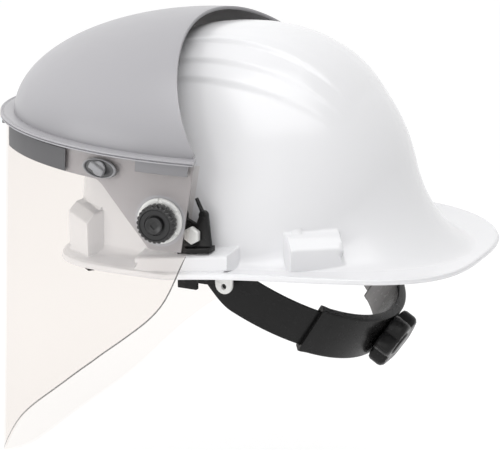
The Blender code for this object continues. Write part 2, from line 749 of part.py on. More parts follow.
def build_web(name, start, end, apex_z):
    """Crown strap: a ribbon that arches over the head from key to key."""
    half = (end - start) / 2
    middle = (end + start) / 2
    flat = Vector((half.x, half.y, 0)).normalized()
    across = Vector((-flat.y, flat.x, 0)) * WEB_WIDTH / 2
    line = []
    count = WEB_STATIONS
    for k in range(count + 1):
        turn = math.pi * k / count
        along = -math.copysign(abs(math.cos(turn)) ** WEB_ROUND, math.cos(turn))
        base = middle.z + half.z * along
        rise = (apex_z - base) * math.sin(turn) ** WEB_RISE if 0 < k < count else 0.0
        line.append(middle + Vector((half.x, half.y, 0)) * along + Vector((0, 0, base - middle.z + rise)))
    sections = []
    for k, point in enumerate(line):
        ahead = line[min(k + 1, count)]
        behind = line[max(k - 1, 0)]
        tangent = (ahead - behind).normalized()
        if k in (0, count):
            tangent = Vector((0, 0, 1.0 if k == 0 else -1.0))
        thick = across.normalized().cross(tangent) * WEB_THICKNESS / 2
        near = [point - across - thick, point + across - thick]
        sections.append(near + [point + across + thick, point - across + thick])
    add_object(name, loft(sections), GREY_WEBBING)


def build_lug(name, side):
    """Chin strap lug: white tab with a hole, on the inside of the shell's wall."""
    share = (LUG_X + LUG_WIDTH / 2 - DOME_CENTRE_X) / DOME_HALF_LENGTH
    wall_y = (DOME_HALF_WIDTH - SHELL_WALL) * math.sqrt(1 - share * share)
    outer = wall_y * dome_spread(LUG_HIGH_Z) - 2 * SEAT_GAP
    half = LUG_WIDTH / 2
    outline = [(LUG_X + half, LUG_HIGH_Z), (LUG_X - half, LUG_HIGH_Z)]
    outline += arc(LUG_X, LUG_LOW_Z + half, half, 180, 360, 10)
    tab = extrude_outline(outline, side * (outer - LUG_THICKNESS), side * outer)
    lug = add_object(f"chin_lug_{name}", tab, WHITE_FITTING)
    start = Vector((LUG_X, side * (outer - LUG_THICKNESS * 2), LUG_HOLE_Z))
    axis = frame_matrix(start, Vector((0, side, 0)), Vector((0, 0, 1)))
    hole = turned(((0, LUG_HOLE_RADIUS), (LUG_THICKNESS * 3, LUG_HOLE_RADIUS)), 16, axis)
    cut(lug, add_cutter(f"lug_hole_{name}", hole))


def nape_matrix():
    """Frame of the nape: local X runs to the rear and down, local Z stands across the strap."""
    turn = Matrix.Rotation(math.radians(NAPE_TILT), 4, "Y")
    return Matrix.Translation((NAPE_ROOT_X, 0, NAPE_ROOT_Z)) @ turn


def nape_point(angle, side, offset):
    """Point of the nape oval at an angle in degrees, moved out by an offset, in the nape frame."""
    half_width = HEAD_HALF_WIDTH + SEAT_GAP + TAIL_THICKNESS / 2
    turn = math.radians(angle)
    normal = Vector((math.sin(turn) / NAPE_REACH, side * math.cos(turn) / half_width, 0)).normalized()
    return Vector((NAPE_REACH * math.sin(turn), side * half_width * math.cos(turn), 0)) + normal * offset


def nape_ribbon(angles, side, inner, outer, heights):
    """Ribbon along the nape oval; heights gives (low, high) at an angle."""
    sections = []
    for angle in angles:
        low, high = heights(angle)
        near = nape_point(angle, side, inner)
        far = nape_point(angle, side, outer)
        down = Vector((0, 0, low))
        up = Vector((0, 0, high))
        sections.append([near + down, near + up, far + up, far + down])
    return place(loft(sections), nape_matrix())


def rack_heights(side):
    """Tail that widens from its root, then narrows to a rack on one side of the pinion."""
    rack = PINION_RADIUS + RUNNING_GAP

    def heights(angle):
        widened = min((angle - TAIL_START) / (TAIL_FULL - TAIL_START), 1.0)
        half = TAIL_WIDTH / 2 * (TAIL_ROOT_SHARE + (1 - TAIL_ROOT_SHARE) * widened)
        share = min(max((angle - TAIL_NECK[0]) / (TAIL_NECK[1] - TAIL_NECK[0]), 0.0), 1.0)
        if side < 0:
            return (-half, half + (-rack - half) * share)
        return (-half + (rack + half) * share, half)

    return heights


def build_nape(name, side):
    """Flexible tail from the headband's end into the sleeve, with its rack past the pinion."""
    angles = [TAIL_START + (TAIL_NECK[0] - TAIL_START) * k / 18 for k in range(19)]
    angles += [TAIL_NECK[1] + (TAIL_END - TAIL_NECK[1]) * k / 10 for k in range(11)]
    half = TAIL_THICKNESS / 2
    tail = nape_ribbon(angles, side, -half, half, rack_heights(side))
    add_object(f"nape_strap_{name}", tail, BLACK_PLASTIC)


def slot_half_thickness():
    """Half the height of the sleeve's slot."""
    return TAIL_THICKNESS / 2 + RUNNING_GAP


def sleeve_back():
    """Offset of the sleeve's rear face from the tails' middle."""
    return slot_half_thickness() + SLEEVE_BACK_WALL


def build_ratchet():
    """Sleeve at the nape, pinion in its slot and lobed knob behind it."""
    angles = [SLEEVE_START + (180 - 2 * SLEEVE_START) * k / 20 for k in range(21)]
    centre = nape_matrix() @ Vector((NAPE_REACH, 0, 0))
    head_face = -slot_half_thickness() - SLEEVE_HEAD_WALL
    half = SLEEVE_HEIGHT / 2
    outer = nape_ribbon(angles, 1.0, head_face, sleeve_back(), lambda angle: (-half, half))
    sleeve = add_object("ratchet_sleeve", outer, BLACK_PLASTIC, centre)
    slot_half = TAIL_WIDTH / 2 + RUNNING_GAP
    long_angles = [SLEEVE_START - 4 + (188 - 2 * SLEEVE_START) * k / 22 for k in range(23)]
    gap = slot_half_thickness()
    slot = nape_ribbon(long_angles, 1.0, -gap, gap, lambda angle: (-slot_half, slot_half))
    cut(sleeve, add_cutter("sleeve_slot", slot))
    rear = (nape_matrix().to_3x3() @ Vector((1, 0, 0))).normalized()
    axis = frame_matrix(centre, rear, Vector((0, 1, 0)))
    bore = SHAFT_RADIUS + RUNNING_GAP
    cut(sleeve, add_cutter("shaft_bore", turned(((0, bore), (sleeve_back() * 3, bore)), 20, axis)))
    half_pinion = TAIL_THICKNESS / 2

    def toothed(angle):
        return PINION_RADIUS - PINION_TOOTH * (0.5 - 0.5 * math.cos(PINION_TEETH * angle))

    pinion = turned(((-half_pinion, toothed), (half_pinion, toothed)), 32, axis)
    add_object("ratchet_pinion", pinion, WHITE_FITTING, centre)
    start = sleeve_back() + SEAT_GAP

    def lobed(base):
        return lambda angle: base + KNOB_LOBE_HEIGHT * (math.cos(KNOB_LOBES * angle) - 1) / 2

    profile = (
        (half_pinion + SEAT_GAP, SHAFT_RADIUS),
        (start, SHAFT_RADIUS),
        (start, lobed(KNOB_RADIUS - KNOB_ROUND)),
        (start + KNOB_ROUND, lobed(KNOB_RADIUS)),
        (start + KNOB_DEPTH - 2 * KNOB_ROUND, lobed(KNOB_RADIUS)),
        (start + KNOB_DEPTH - KNOB_ROUND / 2, lobed(KNOB_RADIUS - KNOB_ROUND)),
        (start + KNOB_DEPTH, lobed(KNOB_RADIUS - 2.5 * KNOB_ROUND)),
    )
    add_object("ratchet_knob", turned(profile, KNOB_LOBES * 6, axis), BLACK_PLASTIC, centre)


def shield_half_width():
    """Half width of the visor's outer face."""
    return DOME_HALF_WIDTH + SHIELD_STANDOFF


def shield_matrix():
    """Frame of the shield: origin in the middle of the ledge's plane."""
    origin = Vector((PIVOT_X - SHIELD_BEHIND, 0, PIVOT_Z + LEDGE_ABOVE_PIVOT))
    return Matrix.Translation(origin) @ Matrix.Rotation(math.radians(SHIELD_LEAN), 4, "Y")


def shield_local(theta, offset, z):
    """Point on the shield's oval at an angle from the front in degrees, left side positive."""
    turn = math.radians(theta)
    half_width = shield_half_width()
    x = -SHIELD_HALF_LENGTH * math.cos(turn)
    y = -half_width * math.sin(turn)
    normal = Vector((x / SHIELD_HALF_LENGTH**2, y / half_width**2, 0)).normalized()
    return Vector((x, y, z)) + normal * offset


def shield_point(theta, offset, z):
    """The same point in the row's frame."""
    return shield_matrix() @ shield_local(theta, offset, z)


def shield_frame(theta, offset, z):
    """Frame on the shield's oval: local Z out, local X up."""
    turn = math.radians(theta)
    x = -math.cos(turn) / SHIELD_HALF_LENGTH
    y = -math.sin(turn) / shield_half_width()
    rotation = shield_matrix().to_3x3()
    normal = rotation @ Vector((x, y, 0))
    up = rotation @ Vector((0, 0, 1))
    return frame_matrix(shield_point(theta, offset, z), normal, up)


def pivot_theta():
    """Angle on the shield's oval where the pivot axis meets the ear."""
    local = shield_matrix().inverted() @ Vector((PIVOT_X, 0, PIVOT_Z))
    return math.degrees(math.acos(-local.x / SHIELD_HALF_LENGTH)), local.z


def ear_face():
    """Offset of the band's and ears' outer face from the visor's outer face."""
    return -VISOR_THICKNESS - SEAT_GAP


def stud_end_y():
    """Distance of the stud's outer end from the middle plane, inside the knob."""
    theta, z = pivot_theta()
    return abs(shield_point(theta, ear_face(), z).y) + RING_HEIGHT + GRIP_HEIGHT * 0.45


def slanted(theta, z):
    """Angle on the oval, moved forward with depth on an ear so that its rear edge leans."""
    share = max((abs(theta) - EAR_FRONT[0]) / (SHIELD_EDGE - EAR_FRONT[0]), 0.0)
    depth = min(max(-z / EAR_DEPTH, 0.0), 1.0)
    return theta - math.copysign(EAR_SLANT * share * depth, theta)


def band_drop(theta):
    """Depth of the band and ears below the ledge."""
    share = (abs(theta) - EAR_FRONT[0]) / (EAR_FRONT[1] - EAR_FRONT[0])
    share = min(max(share, 0.0), 1.0)
    return BAND_DEPTH + (EAR_DEPTH - BAND_DEPTH) * share


def rim_point(phi):
    """Point of the crown guard's rear rim, 0 at the top, -90 and 90 at the ears' top."""
    end = shield_point(SHIELD_EDGE, -CROWN_INSET, LEDGE_THICKNESS + RIM_END_RISE)
    apex_z = DOME_BASE_Z + DOME_HEIGHT + CROWN_GAP
    turn = math.radians(phi)
    bow = RIM_BOW * (1 + math.cos(2 * turn)) - RIM_WAVE * math.cos(3 * turn)
    x = end.x - RIM_SWEEP * math.cos(turn) + bow
    z = end.z + (apex_z - end.z) * math.cos(turn)
    return Vector((x, end.y * math.sin(turn), z))


def crown_column(theta):
    """Quarter ellipse from the rim down to the ledge at one angle."""
    foot = shield_point(theta, -CROWN_INSET, LEDGE_THICKNESS * 0.3)
    tip = rim_point(90 * theta / SHIELD_EDGE)
    span = tip - foot
    column = []
    for k in range(CROWN_ROWS + 1):
        turn = math.pi / 2 * (1 - k / CROWN_ROWS)
        back = 1 - math.cos(turn)
        column.append(foot + Vector((span.x * back, span.y * back, span.z * math.sin(turn))))
    return column


def spread_angles(limit, count):
    """Angles from -limit to limit."""
    return [-limit + 2 * limit * k / count for k in range(count + 1)]


def arc_block(start, end, count, corners):
    """Sweep a section of (offset, z) corners round the shield's oval."""
    sections = []
    for k in range(count + 1):
        theta = start + (end - start) * k / count
        sections.append([shield_point(slanted(theta, z), offset, z) for offset, z in corners])
    return loft(sections)


def build_crown():
    """Grey moulding: dome, ledge, band, ears with a lip, and hook bars."""
    ledge_inner = -CROWN_INSET - CROWN_WALL - LEDGE_MARGIN
    face = ear_face()
    sections = []
    ear = [EAR_FRONT[0] + (EAR_FRONT[1] - EAR_FRONT[0]) * k / 4 for k in range(1, 5)]
    ear += [(EAR_FRONT[1] + SHIELD_EDGE) / 2, SHIELD_EDGE]
    stations = [-theta for theta in reversed(ear)] + spread_angles(EAR_FRONT[0], 32) + ear
    for theta in stations:
        low = -band_drop(theta)
        corners = (
            (ledge_inner, LEDGE_THICKNESS),
            (LEDGE_REACH, LEDGE_THICKNESS),
            (LEDGE_REACH, 0.0),
            (face, 0.0),
            (face, low),
            (face - BAND_WALL, low),
            (face - BAND_WALL, -LEDGE_THICKNESS / 2),
            (ledge_inner, 0.0),
        )
        sections.append([shield_point(slanted(theta, z), offset, z) for offset, z in corners])
    crown = add_object("crown_guard", loft(sections), GREY_CROWN, SHIELD_PIVOT)
    columns = [crown_column(theta) for theta in spread_angles(SHIELD_EDGE - RIM_END, CROWN_COLUMNS)]
    rows = [list(row) for row in zip(*columns)]
    dome = add_cutter("crown_dome", sheet(rows))
    thicken(dome, CROWN_WALL)
    cut(crown, dome, "UNION")
    hook_face = SEAT_GAP + HOOK_THICKNESS
    hook = (
        (SEAT_GAP, -HOOK_HEIGHT),
        (hook_face, -HOOK_HEIGHT),
        (hook_face, LEDGE_THICKNESS / 2),
        (SEAT_GAP, LEDGE_THICKNESS / 2),
    )
    cut(crown, add_cutter("hook_front", arc_block(-HOOK_FRONT_SPAN, HOOK_FRONT_SPAN, 14, hook)), "UNION")
    for name, side in SIDES.items():
        start = -side * HOOK_EAR_SPAN[0]
        end = -side * HOOK_EAR_SPAN[1]
        cut(crown, add_cutter(f"hook_ear_{name}", arc_block(start, end, 3, hook)), "UNION")
        lip = ((face - BAND_WALL / 2, -EAR_DEPTH), (face - BAND_WALL / 2, 0.0),
               (face - BAND_WALL - EAR_LIP, -BAND_DEPTH), (face - BAND_WALL - EAR_LIP * 0.4, -EAR_DEPTH))
        edge = -side * (SHIELD_EDGE - RIM_END / 2)
        inner_edge = edge + side * math.degrees(BAND_WALL / shield_half_width())
        cut(crown, add_cutter(f"ear_lip_{name}", arc_block(edge, inner_edge, 1, lip)), "UNION")
        start = Vector((PIVOT_X, side * (adapter_outer_y() + SEAT_GAP), PIVOT_Z))
        bore = STUD_RADIUS + RUNNING_GAP
        axis = frame_matrix(start, Vector((0, side, 0)), Vector((0, 0, 1)))
        reach = stud_end_y() - adapter_outer_y()
        cut(crown, add_cutter(f"ear_bore_{name}", turned(((0, bore), (reach, bore)), 20, axis)))
        cut(crown, add_cutter(f"lock_bore_{name}", lock_bore(side)))


def visor_drop(theta):
    """Depth of the visor's lower edge below the ledge."""
    return interpolate(VISOR_DROPS, abs(theta))


def lock_bore(side):
    """Cutter for a twist lock's shank through the visor and the band."""
    radius = TWIST_SHANK_RADIUS + RUNNING_GAP
    seat = shield_frame(-side * TWIST_ANGLE, ear_face(), -TWIST_DROP)
    return turned(((-BORE_REACH, radius), (BORE_REACH, radius)), 16, seat)


def build_visor():
    """Clear curved sheet with round holes at the pivots and the locks."""
    columns = []
    for theta in spread_angles(VISOR_EDGE, VISOR_COLUMNS):
        height = visor_drop(theta) - SEAT_GAP
        levels = [-SEAT_GAP - height * k / VISOR_ROWS for k in range(VISOR_ROWS + 1)]
        columns.append([shield_point(slanted(theta, z), 0.0, z) for z in levels])
    rows = [list(row) for row in zip(*columns)]
    visor = add_object("visor", sheet(rows), CLEAR_SHEET, SHIELD_PIVOT)
    thicken(visor, VISOR_THICKNESS)
    theta, z = pivot_theta()
    for name, side in SIDES.items():
        axis = shield_frame(-side * theta, 0.0, z)
        hole = turned(((-BORE_REACH, VISOR_HOLE_RADIUS), (BORE_REACH, VISOR_HOLE_RADIUS)), 32, axis)
        cut(visor, add_cutter(f"visor_hole_{name}", hole))
        cut(visor, add_cutter(f"visor_lock_{name}", lock_bore(side)))


def build_label():
    """Bare dark plate on the visor over the left of the band."""
    corners = (
        (SEAT_GAP, -LABEL_BOTTOM),
        (SEAT_GAP + LABEL_THICKNESS, -LABEL_BOTTOM),
        (SEAT_GAP + LABEL_THICKNESS, -LABEL_TOP),
        (SEAT_GAP, -LABEL_TOP),
    )
    plate = arc_block(LABEL_SPAN[0], LABEL_SPAN[1], LABEL_STATIONS, corners)
    add_object("label_plate", plate, DARK_LABEL, SHIELD_PIVOT)


def oval(half_length, half_width):
    """Radius of an ellipse by angle, long axis along local X."""
    return lambda angle: 1 / math.hypot(math.cos(angle) / half_length, math.sin(angle) / half_width)


def build_twist_lock(name, side):
    """Oval plate on the visor, round quarter turn button with a ridge, and a bar behind the band."""
    seat = shield_frame(-side * TWIST_ANGLE, SEAT_GAP, -TWIST_DROP)
    along = seat @ Matrix.Rotation(math.pi / 2, 4, "Z")
    profile = (
        (0.0, oval(PLATE_HALF_LENGTH, PLATE_HALF_WIDTH)),
        (PLATE_HEIGHT - PLATE_BEVEL, oval(PLATE_HALF_LENGTH, PLATE_HALF_WIDTH)),
        (PLATE_HEIGHT, oval(PLATE_HALF_LENGTH - PLATE_BEVEL, PLATE_HALF_WIDTH - PLATE_BEVEL)),
    )
    plate = add_object(f"lock_plate_{name}", turned(profile, 32, along), GREY_LOCK, SHIELD_PIVOT)
    cut(plate, add_cutter(f"plate_bore_{name}", lock_bore(side)))
    seat = along @ Matrix.Rotation(math.radians(-side * TWIST_REST), 4, "Z")
    base = PLATE_HEIGHT + SEAT_GAP
    top = base + TWIST_HEIGHT
    back = ear_face() - BAND_WALL - 3 * SEAT_GAP
    profile = (
        (back, TWIST_SHANK_RADIUS),
        (base, TWIST_SHANK_RADIUS),
        (base, TWIST_RADIUS),
        (top - TWIST_BEVEL, TWIST_RADIUS),
        (top, TWIST_RADIUS - TWIST_BEVEL),
    )
    lock = add_object(f"twist_lock_{name}", turned(profile, 28, seat), GREY_LOCK, seat.translation)
    half = TWIST_RADIUS - TWIST_BEVEL * 2
    low = (-half, -TWIST_RIDGE_WIDTH / 2, base + TWIST_HEIGHT / 2)
    high = (half, TWIST_RIDGE_WIDTH / 2, top + TWIST_RIDGE_HEIGHT)
    cut(lock, add_cutter(f"lock_ridge_{name}", place(box(low, high), seat)), "UNION")
    face = back - SEAT_GAP
    low = (-TWIST_BAR_LENGTH / 2, -TWIST_BAR_WIDTH / 2, face - TWIST_BAR_HEIGHT)
    high = (TWIST_BAR_LENGTH / 2, TWIST_BAR_WIDTH / 2, face)
    add_object(f"twist_bar_{name}", place(box(low, high), seat), GREY_LOCK, seat.translation)


def build_pivot(name, side):
    """White segmented ring on the ear, dark serrated knob over it and the hub in its middle."""
    theta, z = pivot_theta()
    seat = shield_frame(-side * theta, ear_face() + SEAT_GAP, z)
    bore = STUD_RADIUS + RUNNING_GAP + STUD_SWAY
    disc = turned(((0, RING_RADIUS), (RING_HEIGHT, RING_RADIUS)), 36, seat)
    ring = add_object(f"pivot_ring_{name}", disc, WHITE_FITTING, SHIELD_PIVOT)
    opening = turned(((-RING_HEIGHT, bore), (RING_HEIGHT * 2, bore)), 20, seat)
    cut(ring, add_cutter(f"ring_bore_{name}", opening))
    for k in range(RING_GAPS):
        low = (GRIP_RADIUS + SEAT_GAP, -RING_NOTCH / 2, RING_HEIGHT * 0.4)
        high = (RING_RADIUS * 1.2, RING_NOTCH / 2, RING_HEIGHT * 2)
        turn = Matrix.Rotation(2 * math.pi * k / RING_GAPS, 4, "Z")
        cut(ring, add_cutter(f"ring_notch_{k}_{name}", place(box(low, high), seat @ turn)))
    base = RING_HEIGHT + SEAT_GAP
    top = base + GRIP_HEIGHT

    def serrated(angle):
        return GRIP_RADIUS - GRIP_TOOTH * (0.5 - 0.5 * math.cos(GRIP_TEETH * angle))

    profile = (
        (base, GRIP_RADIUS - GRIP_BEVEL),
        (base + GRIP_BEVEL, serrated),
        (top - GRIP_BEVEL, serrated),
        (top, GRIP_RADIUS - GRIP_BEVEL - GRIP_TOOTH),
    )
    axis_origin = seat.translation
    knob = add_object(f"pivot_knob_{name}", turned(profile, GRIP_TEETH * 2, seat), DARK_KNOB, axis_origin)
    pocket = turned(((-RING_HEIGHT, bore), (top - GRIP_WALL, bore)), 20, seat)
    cut(knob, add_cutter(f"knob_pocket_{name}", pocket))
    low = top + SEAT_GAP
    high = low + HUB_HEIGHT
    profile = ((low, HUB_RADIUS), (high - HUB_BEVEL, HUB_RADIUS), (high, HUB_RADIUS - HUB_BEVEL))
    cap = add_object(f"pivot_cap_{name}", turned(profile, 24, seat), DARK_KNOB, axis_origin)
    socket = turned(((high - SOCKET_DEPTH, SOCKET_RADIUS), (high + SOCKET_DEPTH, SOCKET_RADIUS)), 6, seat)
    cut(cap, add_cutter(f"cap_socket_{name}", socket))


build_shell()
for side_name, side_sign in SIDES.items():
    build_adapter(side_name, side_sign)
    build_lug(side_name, side_sign)
    build_nape(side_name, side_sign)
    for pocket_end, pocket_angle in POCKET_ANGLES.items():
        build_key(pocket_end, pocket_angle, side_name, side_sign)
build_headband()
upper_apex_z = WEB_APEX_Z + WEB_THICKNESS + WEB_GAP
build_web("crown_strap_lower", web_foot("front", -1), web_foot("rear", 1), WEB_APEX_Z)
build_web("crown_strap_upper", web_foot("front", 1), web_foot("rear", -1), upper_apex_z)
build_ratchet()
build_crown()
build_visor()
build_label()
for side_name, side_sign in SIDES.items():
    build_twist_lock(side_name, side_sign)
    build_pivot(side_name, side_sign)
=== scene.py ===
"""Fine shapes and finishes for the hard hat with its face shield.

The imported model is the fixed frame. Every piece is made in its metres and
axes: +X to the rear, +Y to the wearer's right, +Z up.
"""
import math

import bpy
from bpy.props import FloatProperty, FloatVectorProperty, IntProperty, PointerProperty
from bpy.types import Operator, Panel, PropertyGroup
from mathutils import Matrix, Vector


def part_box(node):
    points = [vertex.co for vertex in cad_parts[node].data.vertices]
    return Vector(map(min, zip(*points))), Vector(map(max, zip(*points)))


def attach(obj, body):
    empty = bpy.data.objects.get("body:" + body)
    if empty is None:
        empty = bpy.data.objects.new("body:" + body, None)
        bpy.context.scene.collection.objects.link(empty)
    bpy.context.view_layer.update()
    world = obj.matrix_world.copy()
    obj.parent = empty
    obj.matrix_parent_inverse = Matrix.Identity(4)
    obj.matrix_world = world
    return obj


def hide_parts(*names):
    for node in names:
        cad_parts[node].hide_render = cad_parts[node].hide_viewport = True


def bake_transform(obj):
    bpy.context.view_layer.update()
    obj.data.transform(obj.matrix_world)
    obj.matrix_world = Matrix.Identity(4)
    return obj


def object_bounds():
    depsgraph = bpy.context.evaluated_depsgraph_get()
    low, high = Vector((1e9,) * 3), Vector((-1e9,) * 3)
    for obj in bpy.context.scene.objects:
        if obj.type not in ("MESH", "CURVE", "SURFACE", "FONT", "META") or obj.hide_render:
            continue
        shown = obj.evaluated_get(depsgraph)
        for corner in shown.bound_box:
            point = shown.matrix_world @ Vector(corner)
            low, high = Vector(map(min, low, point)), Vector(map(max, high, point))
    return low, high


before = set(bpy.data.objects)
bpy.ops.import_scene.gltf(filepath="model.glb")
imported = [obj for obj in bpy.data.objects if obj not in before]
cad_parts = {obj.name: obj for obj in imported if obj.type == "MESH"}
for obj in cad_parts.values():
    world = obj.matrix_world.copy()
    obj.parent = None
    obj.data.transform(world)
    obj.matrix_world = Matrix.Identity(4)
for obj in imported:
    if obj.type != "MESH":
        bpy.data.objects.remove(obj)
CAD_BOX = [list(corner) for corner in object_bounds()]

bl_info = {
    "name": "Hard Hat Looks",
    "version": (1, 0, 0),
    "blender": (4, 5, 0),
    "location": "View3D > Sidebar > Hard Hat",
    "description": "Fine shapes, finishes and a stage for the packed hard hat",
    "category": "Add Mesh",
}

SIDES = {"left": -1.0, "right": 1.0}
SEAT_GAP = 0.0003

# Dome and brim of the shell
DOME_CENTRE_X = -0.002
DOME_HALF_LENGTH = 0.1155
DOME_HALF_WIDTH = 0.100
DOME_BASE_Z = 0.0023
DOME_HEIGHT = 0.1345
DOME_PLAN_POWER = 2.27
DOME_RISE_POWER = 2.4
SHELL_WALL = 0.0022
SIDE_BRIM_WIDTH = 0.014
PEAK_WIDTH = 0.0445
FRONT_BRIM_WIDTH = 0.0087
PEAK_POWER = 2.9
FRONT_BRIM_POWER = 2.22
BRIM_SIDE_Z = 0.0021
PEAK_RISE = 0.0036
PEAK_ARCH = 0.0220
FRONT_DROP = 0.0134
FRONT_DROP_POWER = 1.8
BRIM_SLOPE = 0.0042
BRIM_LIP = 0.0040
PEAK_LIP = 0.0027
FILLET_FADE_POWER = 4
FILLET_EASE = 1.3
LIP_ROUND = 0.0014
LIP_BEAD = 0.0009
LIP_BEAD_INSET = 0.0003
LIP_STEPS = 6
DOME_LOW_Z = 0.040
SHOULDER_MARGIN = 0.004
RIB_TURNS = (0.32, 0.80)
DOME_ROWS = (16, 62, 34)
WALL_ROWS = 36
FILLET_ROWS = 26
BRIM_ROWS = 11
INSIDE_ROWS = (8, 15, 20)

# Ribs, pockets and slot housings on the shell
RIB_HALF_WIDTHS = (0.042, 0.057, 0.067)
RIB_STEP = 0.0024
RIB_FALL = 0.35
RIB_FALL_WIDTH = 0.010
RIB_ENDS = (-0.088, 0.086)
RIB_TAPER = 0.34
RIB_TAPER_POWER = 2.2
RIB_FADE = 1.15
POCKET_ANGLES = (132.5, 47.5)
POCKET_WIDTHS = (0.040, 0.033)
POCKET_DEPTHS = (0.0085, 0.0120)
POCKET_TOP_Z = 0.027
POCKET_SHOULDER = 0.007
HOUSING_ANGLE = 85.7
HOUSING_WIDTH = 0.062
HOUSING_DEPTH = 0.0115
HOUSING_TOP_Z = 0.0142
HOUSING_SLOPE = 0.123
HOUSING_CHAMFER = 0.0020
BLOCK_BACK = -0.03
EDGE_COLUMNS = 7
EDGE_SPREAD = 1.4
SEARCH_SPAN = 0.6
SEARCH_STEPS = 30

# Headband and straps
HEAD_HALF_LENGTH = 0.098
HEAD_HALF_WIDTH = 0.080
BAND_THICKNESS = 0.0020
BAND_HALF_HEIGHT = 0.0125
SWEATBAND_THICKNESS = 0.0045
SWEATBAND_SPAN = 62.0
SWEATBAND_MARGIN = 0.0025
PAD_STATIONS = 120
PAD_END_STATIONS = 8
PAD_END_HEIGHT = 0.8
PAD_DIMPLE = 0.25
PAD_DIMPLE_WIDTH = 0.16
PAD_DIMPLE_PITCH = 5
PAD_CROWN_POWERS = (3.5, 0.6)
PAD_END_THICKNESS = 0.35
PAD_THINNEST = 0.06
WEB_WIDTH = 0.019
WEB_THICKNESS = 0.0013
WEB_STATIONS = 112
WEB_ROUND = 0.8
WEB_RISE = 0.75
WEB_MIDDLE = 0.82
WEB_SHARES = 12
WEB_EDGE_POWER = 16
SELVEDGE_PLACE = 0.9
SELVEDGE_WIDTH = 0.07
WEAVE_ACROSS = 50
WEAVE_ALONG = 10

# Nape straps and ratchet
NAPE_ROOT = (0.012, 0.0, -0.004)
NAPE_TILT = 31.0
NAPE_REACH = 0.094
TAIL_THICKNESS = 0.0016
TAIL_WIDTH = 0.027
TAIL_ROOT_SHARE = 0.45
TAIL_START = -5.0
TAIL_FULL = 14.0
TAIL_NECK = (64.0, 69.0)
TAIL_END = 104.0
TAIL_ROUND = 0.0006
RACK_INNER = 0.0047
SLEEVE_START = 44.0
SLEEVE_HEIGHT = 0.0325
SLEEVE_BACK = 0.0035
SLEEVE_FACE = -0.0029
SLOT_HALF_THICKNESS = 0.0013
SLOT_HALF_HEIGHT = 0.0140
SLEEVE_STATIONS = 72
SLEEVE_LIP = 0.0003
SLEEVE_ROUND = 0.0012
SLOT_ROUND = 0.0004
# Painted reflection: the faces of the tails and the sleeve that face the head are lightened toward light grey
REFLECTION_FACING = 0.8
INSIDE_PAINTED_REFLECTION = -28.0
REFLECTION_START = 0.5
REFLECTION_FADE = 0.4
KNOB_RADIUS = 0.0195
KNOB_DEPTH = 0.0125
KNOB_LOBES = 6
KNOB_SHAFT_RADIUS = 0.0030
SCALLOP_START = 0.012
SCALLOP_DEPTH = 0.25

# Face shield
PIVOT = (0.0015, 0.0, 0.037)
SHIELD_BEHIND = 0.03175
LEDGE_ABOVE_PIVOT = 0.03695
SHIELD_LEAN = 3.7
SHIELD_HALF_WIDTH = 0.1279
SHIELD_HALF_LENGTH = 0.1381
SHIELD_EDGE = 112.0
VISOR_THICKNESS = 0.0012
VISOR_EDGE = 113.5
EDGE_STRIP = 0.0009
EDGE_STRIP_STRETCH = 3.5
OUTWARD_LEAST = 0.02
VISOR_COLUMNS = 180
VISOR_ROWS = 32
VISOR_SLOPE_STEP = 0.5
VISOR_DROPS = (
    (0, 0.2668), (20, 0.2555), (40, 0.2310), (60, 0.1865), (75, 0.1564),
    (88, 0.1290), (98, 0.1095), (105, 0.0944), (109, 0.0810), (113.5, 0.0552),
)
VISOR_HOLE_RADIUS = 0.0155
LEDGE_REACH = 0.0040
LEDGE_THICKNESS = 0.0025
BAND_WALL = 0.0022
BAND_DEPTH = 0.016
EAR_DEPTH = 0.053
EAR_FRONT = (87.0, 103.0)
EAR_SLANT = 2.25
EAR_LIP = 0.0035
CROWN_INSET = 0.0050
CROWN_WALL = 0.0022
CROWN_GAP = 0.0127
CROWN_MIDDLE = Vector((-0.03, 0, 0.05))
# Painted shade that darkens the crown guard's outside toward its foot, fading out over FOOT_SHADE_HEIGHT
FOOT_SHADE = 0.22
FOOT_SHADE_HEIGHT = 0.035
# Painted light: the ears are lightened (a value below 0 lightens)
EAR_PAINTED_LIGHT = -0.13
# Painted shade on the inside of the crown dome
INNER_SHADE = 0.66
# Painted shade on the hook bars under the ledge
HOOK_SHADE = 0.4
RIM_SWEEP = 0.0562
RIM_BOW = 0.0079
RIM_WAVE = 0.0040
RIM_END = 0.6
RIM_END_RISE = 0.0020
HOOK_THICKNESS = 0.0024
HOOK_HEIGHT = 0.0065
HOOK_FRONT_SPAN = 34.0
HOOK_EAR_SPAN = (98.0, 111.0)
LABEL_SPAN = (46.0, 77.0)
LABEL_TOP = 0.0015
LABEL_BOTTOM = 0.0150
LABEL_THICKNESS = 0.0006

# Twist locks and pivot knobs
TWIST_ANGLE = 88.0
TWIST_DROP = 0.0085
TWIST_REST = 26.0
PLATE_HALF_LENGTH = 0.0118
PLATE_HALF_WIDTH = 0.0058
PLATE_HEIGHT = 0.0018
DISH_DEPTH = 0.0013
# Painted shade on the floor of the lock plates' dish
DISH_SHADE = 0.75
TWIST_RADIUS = 0.0050
TWIST_HEIGHT = 0.0022
TWIST_RIDGE_WIDTH = 0.0028
TWIST_RIDGE_HEIGHT = 0.0022
TWIST_SHANK_RADIUS = 0.0026
RING_RADIUS = 0.0135
RING_HEIGHT = 0.0022
RING_BORE = 0.0068
RING_NOTCH = 0.0022
RING_GAPS = 6
GRIP_RADIUS = 0.0114
GRIP_HEIGHT = 0.0085
GRIP_TEETH = 24
GRIP_TOOTH = 0.0006
GRIP_TOOTH_SCALE = 1.3
HUB_RADIUS = 0.0052
HUB_HEIGHT = 0.0020

# Stage
LAMP_SIZE = 0.9
LAMP_PLACES = {"key": (0.28, -0.30, 0.95), "fill": (-0.72, -0.98, 0.02), "front": (0.30, -1.2, 0.30)}
FLOOR_SIZE = 30.0
DIMMEST = 0.05
WHITE = (1.0, 1.0, 1.0, 1.0)

# Limits of a colour setting
COLOUR = {"subtype": "COLOR", "size": 3, "min": 0.0, "max": 1.0}


